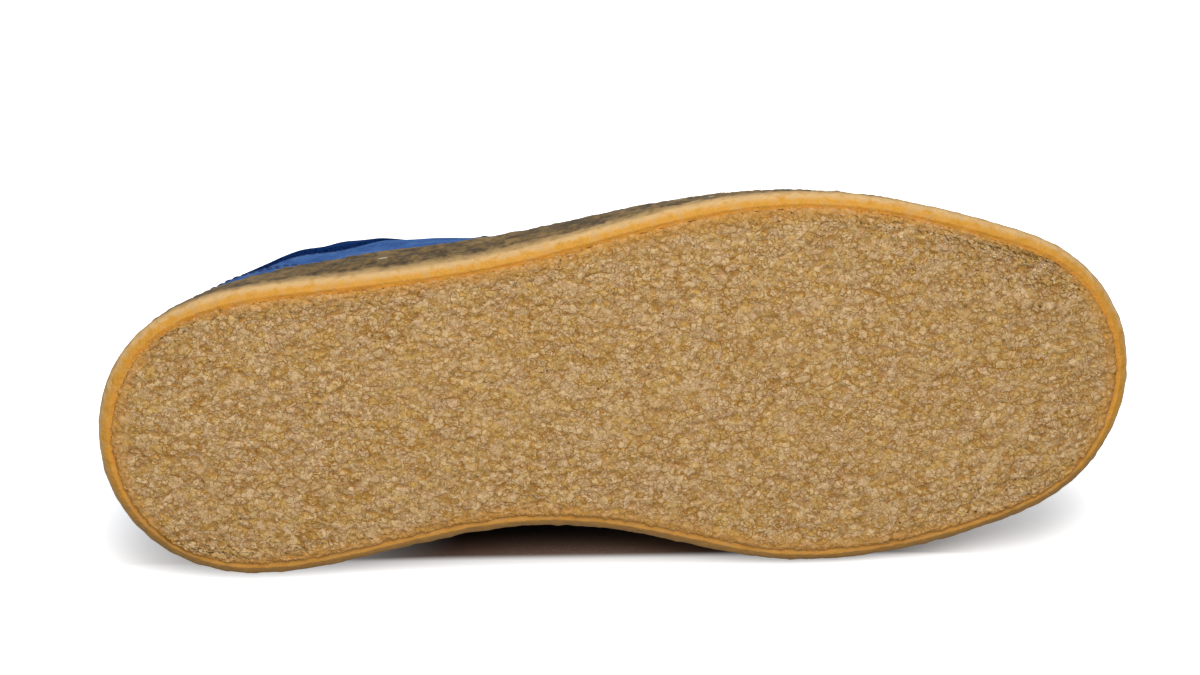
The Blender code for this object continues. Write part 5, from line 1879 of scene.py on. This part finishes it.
# ---- stitching
def stitch_row(skin, points, normals, sizes):
    """A row of stitches along a line: each a short thread that dips into the suede at its ends."""
    lengths = np.concatenate([[0.0], np.cumsum(np.linalg.norm(np.diff(points, axis=0), axis=1))])
    count = max(int(lengths[-1] / (sizes.stitch_length + STITCH_GAP)), 1)
    pitch = lengths[-1] / count
    radius = sizes.thread_width / 2
    part = np.linspace(0, 1, STITCH_STEPS)
    arc = np.sqrt(np.sin(np.pi * np.clip(part, 0.02, 0.98)))
    thick = radius * (0.55 + 0.45 * arc)
    angles = np.linspace(0, 2 * math.pi, STITCH_SIDES, endpoint=False)[None, :, None]
    for i in range(count):
        at = i * pitch + STITCH_GAP / 2 + part * (pitch - STITCH_GAP)
        line, up = (np.stack([np.interp(at, lengths, a[:, k]) for k in range(3)], axis=1) for a in (points, normals))
        up = unit(up)
        line = line + up * (radius * (arc * 1.1 - STITCH_SINK))[:, None]
        run = unit(np.gradient(line, axis=0))
        side = unit(np.cross(up, run))
        rise = np.cross(run, side)
        round_it = side[:, None] * np.cos(angles) + rise[:, None] * np.sin(angles)
        rows = line[:, None] + round_it * thick[:, None, None]
        places = skin.grid(rows, across=True, along=at[:, None])
        for end in (places[0], places[-1]):
            skin.add([[int(k) for k in end]])


class SNEAKER_OT_stitching(bpy.types.Operator):
    """Sews the seams: counter, lace stay, collar and tongue"""

    bl_idname = "sneaker.stitching"
    bl_label = "Stitching"

    def execute(self, context):
        sizes = context.scene.sneaker_sizes
        skin = Skin()
        columns = np.linspace(1.2 - COUNTER_END, COUNTER_END - 1.2, 160)
        turn = turn_of(columns)
        rise, low, length = counter_rise(columns)
        for inside in SEAM_INSETS:
            self.row(skin, turn, np.maximum((rise - inside) / length, low), OVERLAY, sizes)
        for side in (1, -1):
            columns = np.linspace(STAY_START + 0.9, STAY_END - 0.1, 160)
            turn = turn_of(side * columns)
            width = stay_width(turn)
            for inside in SEAM_INSETS:
                keep = width > inside + 1.0
                self.row(skin, turn[keep], side_height(turn, width - inside)[keep], OVERLAY, sizes)
            columns = np.linspace(STAY_START + 0.35, VAMP_SHARE * COLUMNS / 2 + 0.1, 130)
            turn = turn_of(side * columns)
            self.row(skin, turn, side_height(turn, np.full_like(turn, 2.2)), OVERLAY, sizes)
        columns = np.linspace(-COLLAR_END + 3.5, COLLAR_END - 3.5, 260)
        turn = turn_of(columns)
        self.row(skin, turn, side_height(turn, band_at(turn) + 2.0), 0.0, sizes)
        sections = tongue_sections()[TONGUE_SEAM:-1]
        facing = unit(sections - sections[:, ::-1])
        end = slice(2, TONGUE_POINTS - 2)
        lines = []
        for rows in (sections, facing):
            lines.append(np.vstack([rows[:, 1], rows[-1, end], rows[::-1, TONGUE_POINTS - 2]]))
        points, normals = (through(line, SOFT_STEPS) for line in lines)
        stitch_row(skin, points + unit(normals) * 0.1, unit(normals), sizes)
        made_piece("seam_stitches", skin, [thread_finish()], None)
        return {"FINISHED"}

    def row(self, skin, turn, height, out, sizes):
        """Sews a row at heights up the side, so far out from the suede."""
        base, normal = side_point(turn, height), side_normal(turn, height)
        points = base + normal * (out + relief(base))[:, None]
        stitch_row(skin, points, normal, sizes)


class SNEAKER_PT_panel(bpy.types.Panel):
    """Lists the pieces and what can be changed"""

    bl_idname = "SNEAKER_PT_panel"
    bl_label = "Sneaker"
    bl_space_type = "VIEW_3D"
    bl_region_type = "UI"
    bl_category = "Sneaker"

    def draw(self, context):
        for operator in OPERATORS:
            self.layout.operator(operator.bl_idname)
        for name in ("sneaker_sizes", "sneaker_colours", "sneaker_view"):
            settings = getattr(context.scene, name)
            box = self.layout.box()
            for setting in settings.bl_rna.properties:
                if not setting.is_readonly and setting.identifier != "name":
                    box.prop(settings, setting.identifier)


OPERATORS = (
    SNEAKER_OT_stage,
    SNEAKER_OT_tread,
    SNEAKER_OT_cup,
    SNEAKER_OT_insole,
    SNEAKER_OT_upper,
    SNEAKER_OT_overlays,
    SNEAKER_OT_collar,
    SNEAKER_OT_tongue,
    SNEAKER_OT_laces,
    SNEAKER_OT_stitching,
)
GROUPS = {"sneaker_sizes": SneakerSizes, "sneaker_colours": SneakerColours, "sneaker_view": SneakerView}


def register():
    for made in (*GROUPS.values(), *OPERATORS, SNEAKER_PT_panel):
        bpy.utils.register_class(made)
    for name, made in GROUPS.items():
        setattr(bpy.types.Scene, name, PointerProperty(type=made))


def unregister():
    for name in GROUPS:
        delattr(bpy.types.Scene, name)
    for made in (SNEAKER_PT_panel, *reversed(OPERATORS), *reversed(GROUPS.values())):
        bpy.utils.unregister_class(made)


def main():
    register()
    for operator in OPERATORS:
        family, name = operator.bl_idname.split(".")
        getattr(getattr(bpy.ops, family), name)()


if __name__ == "__main__":
    main()
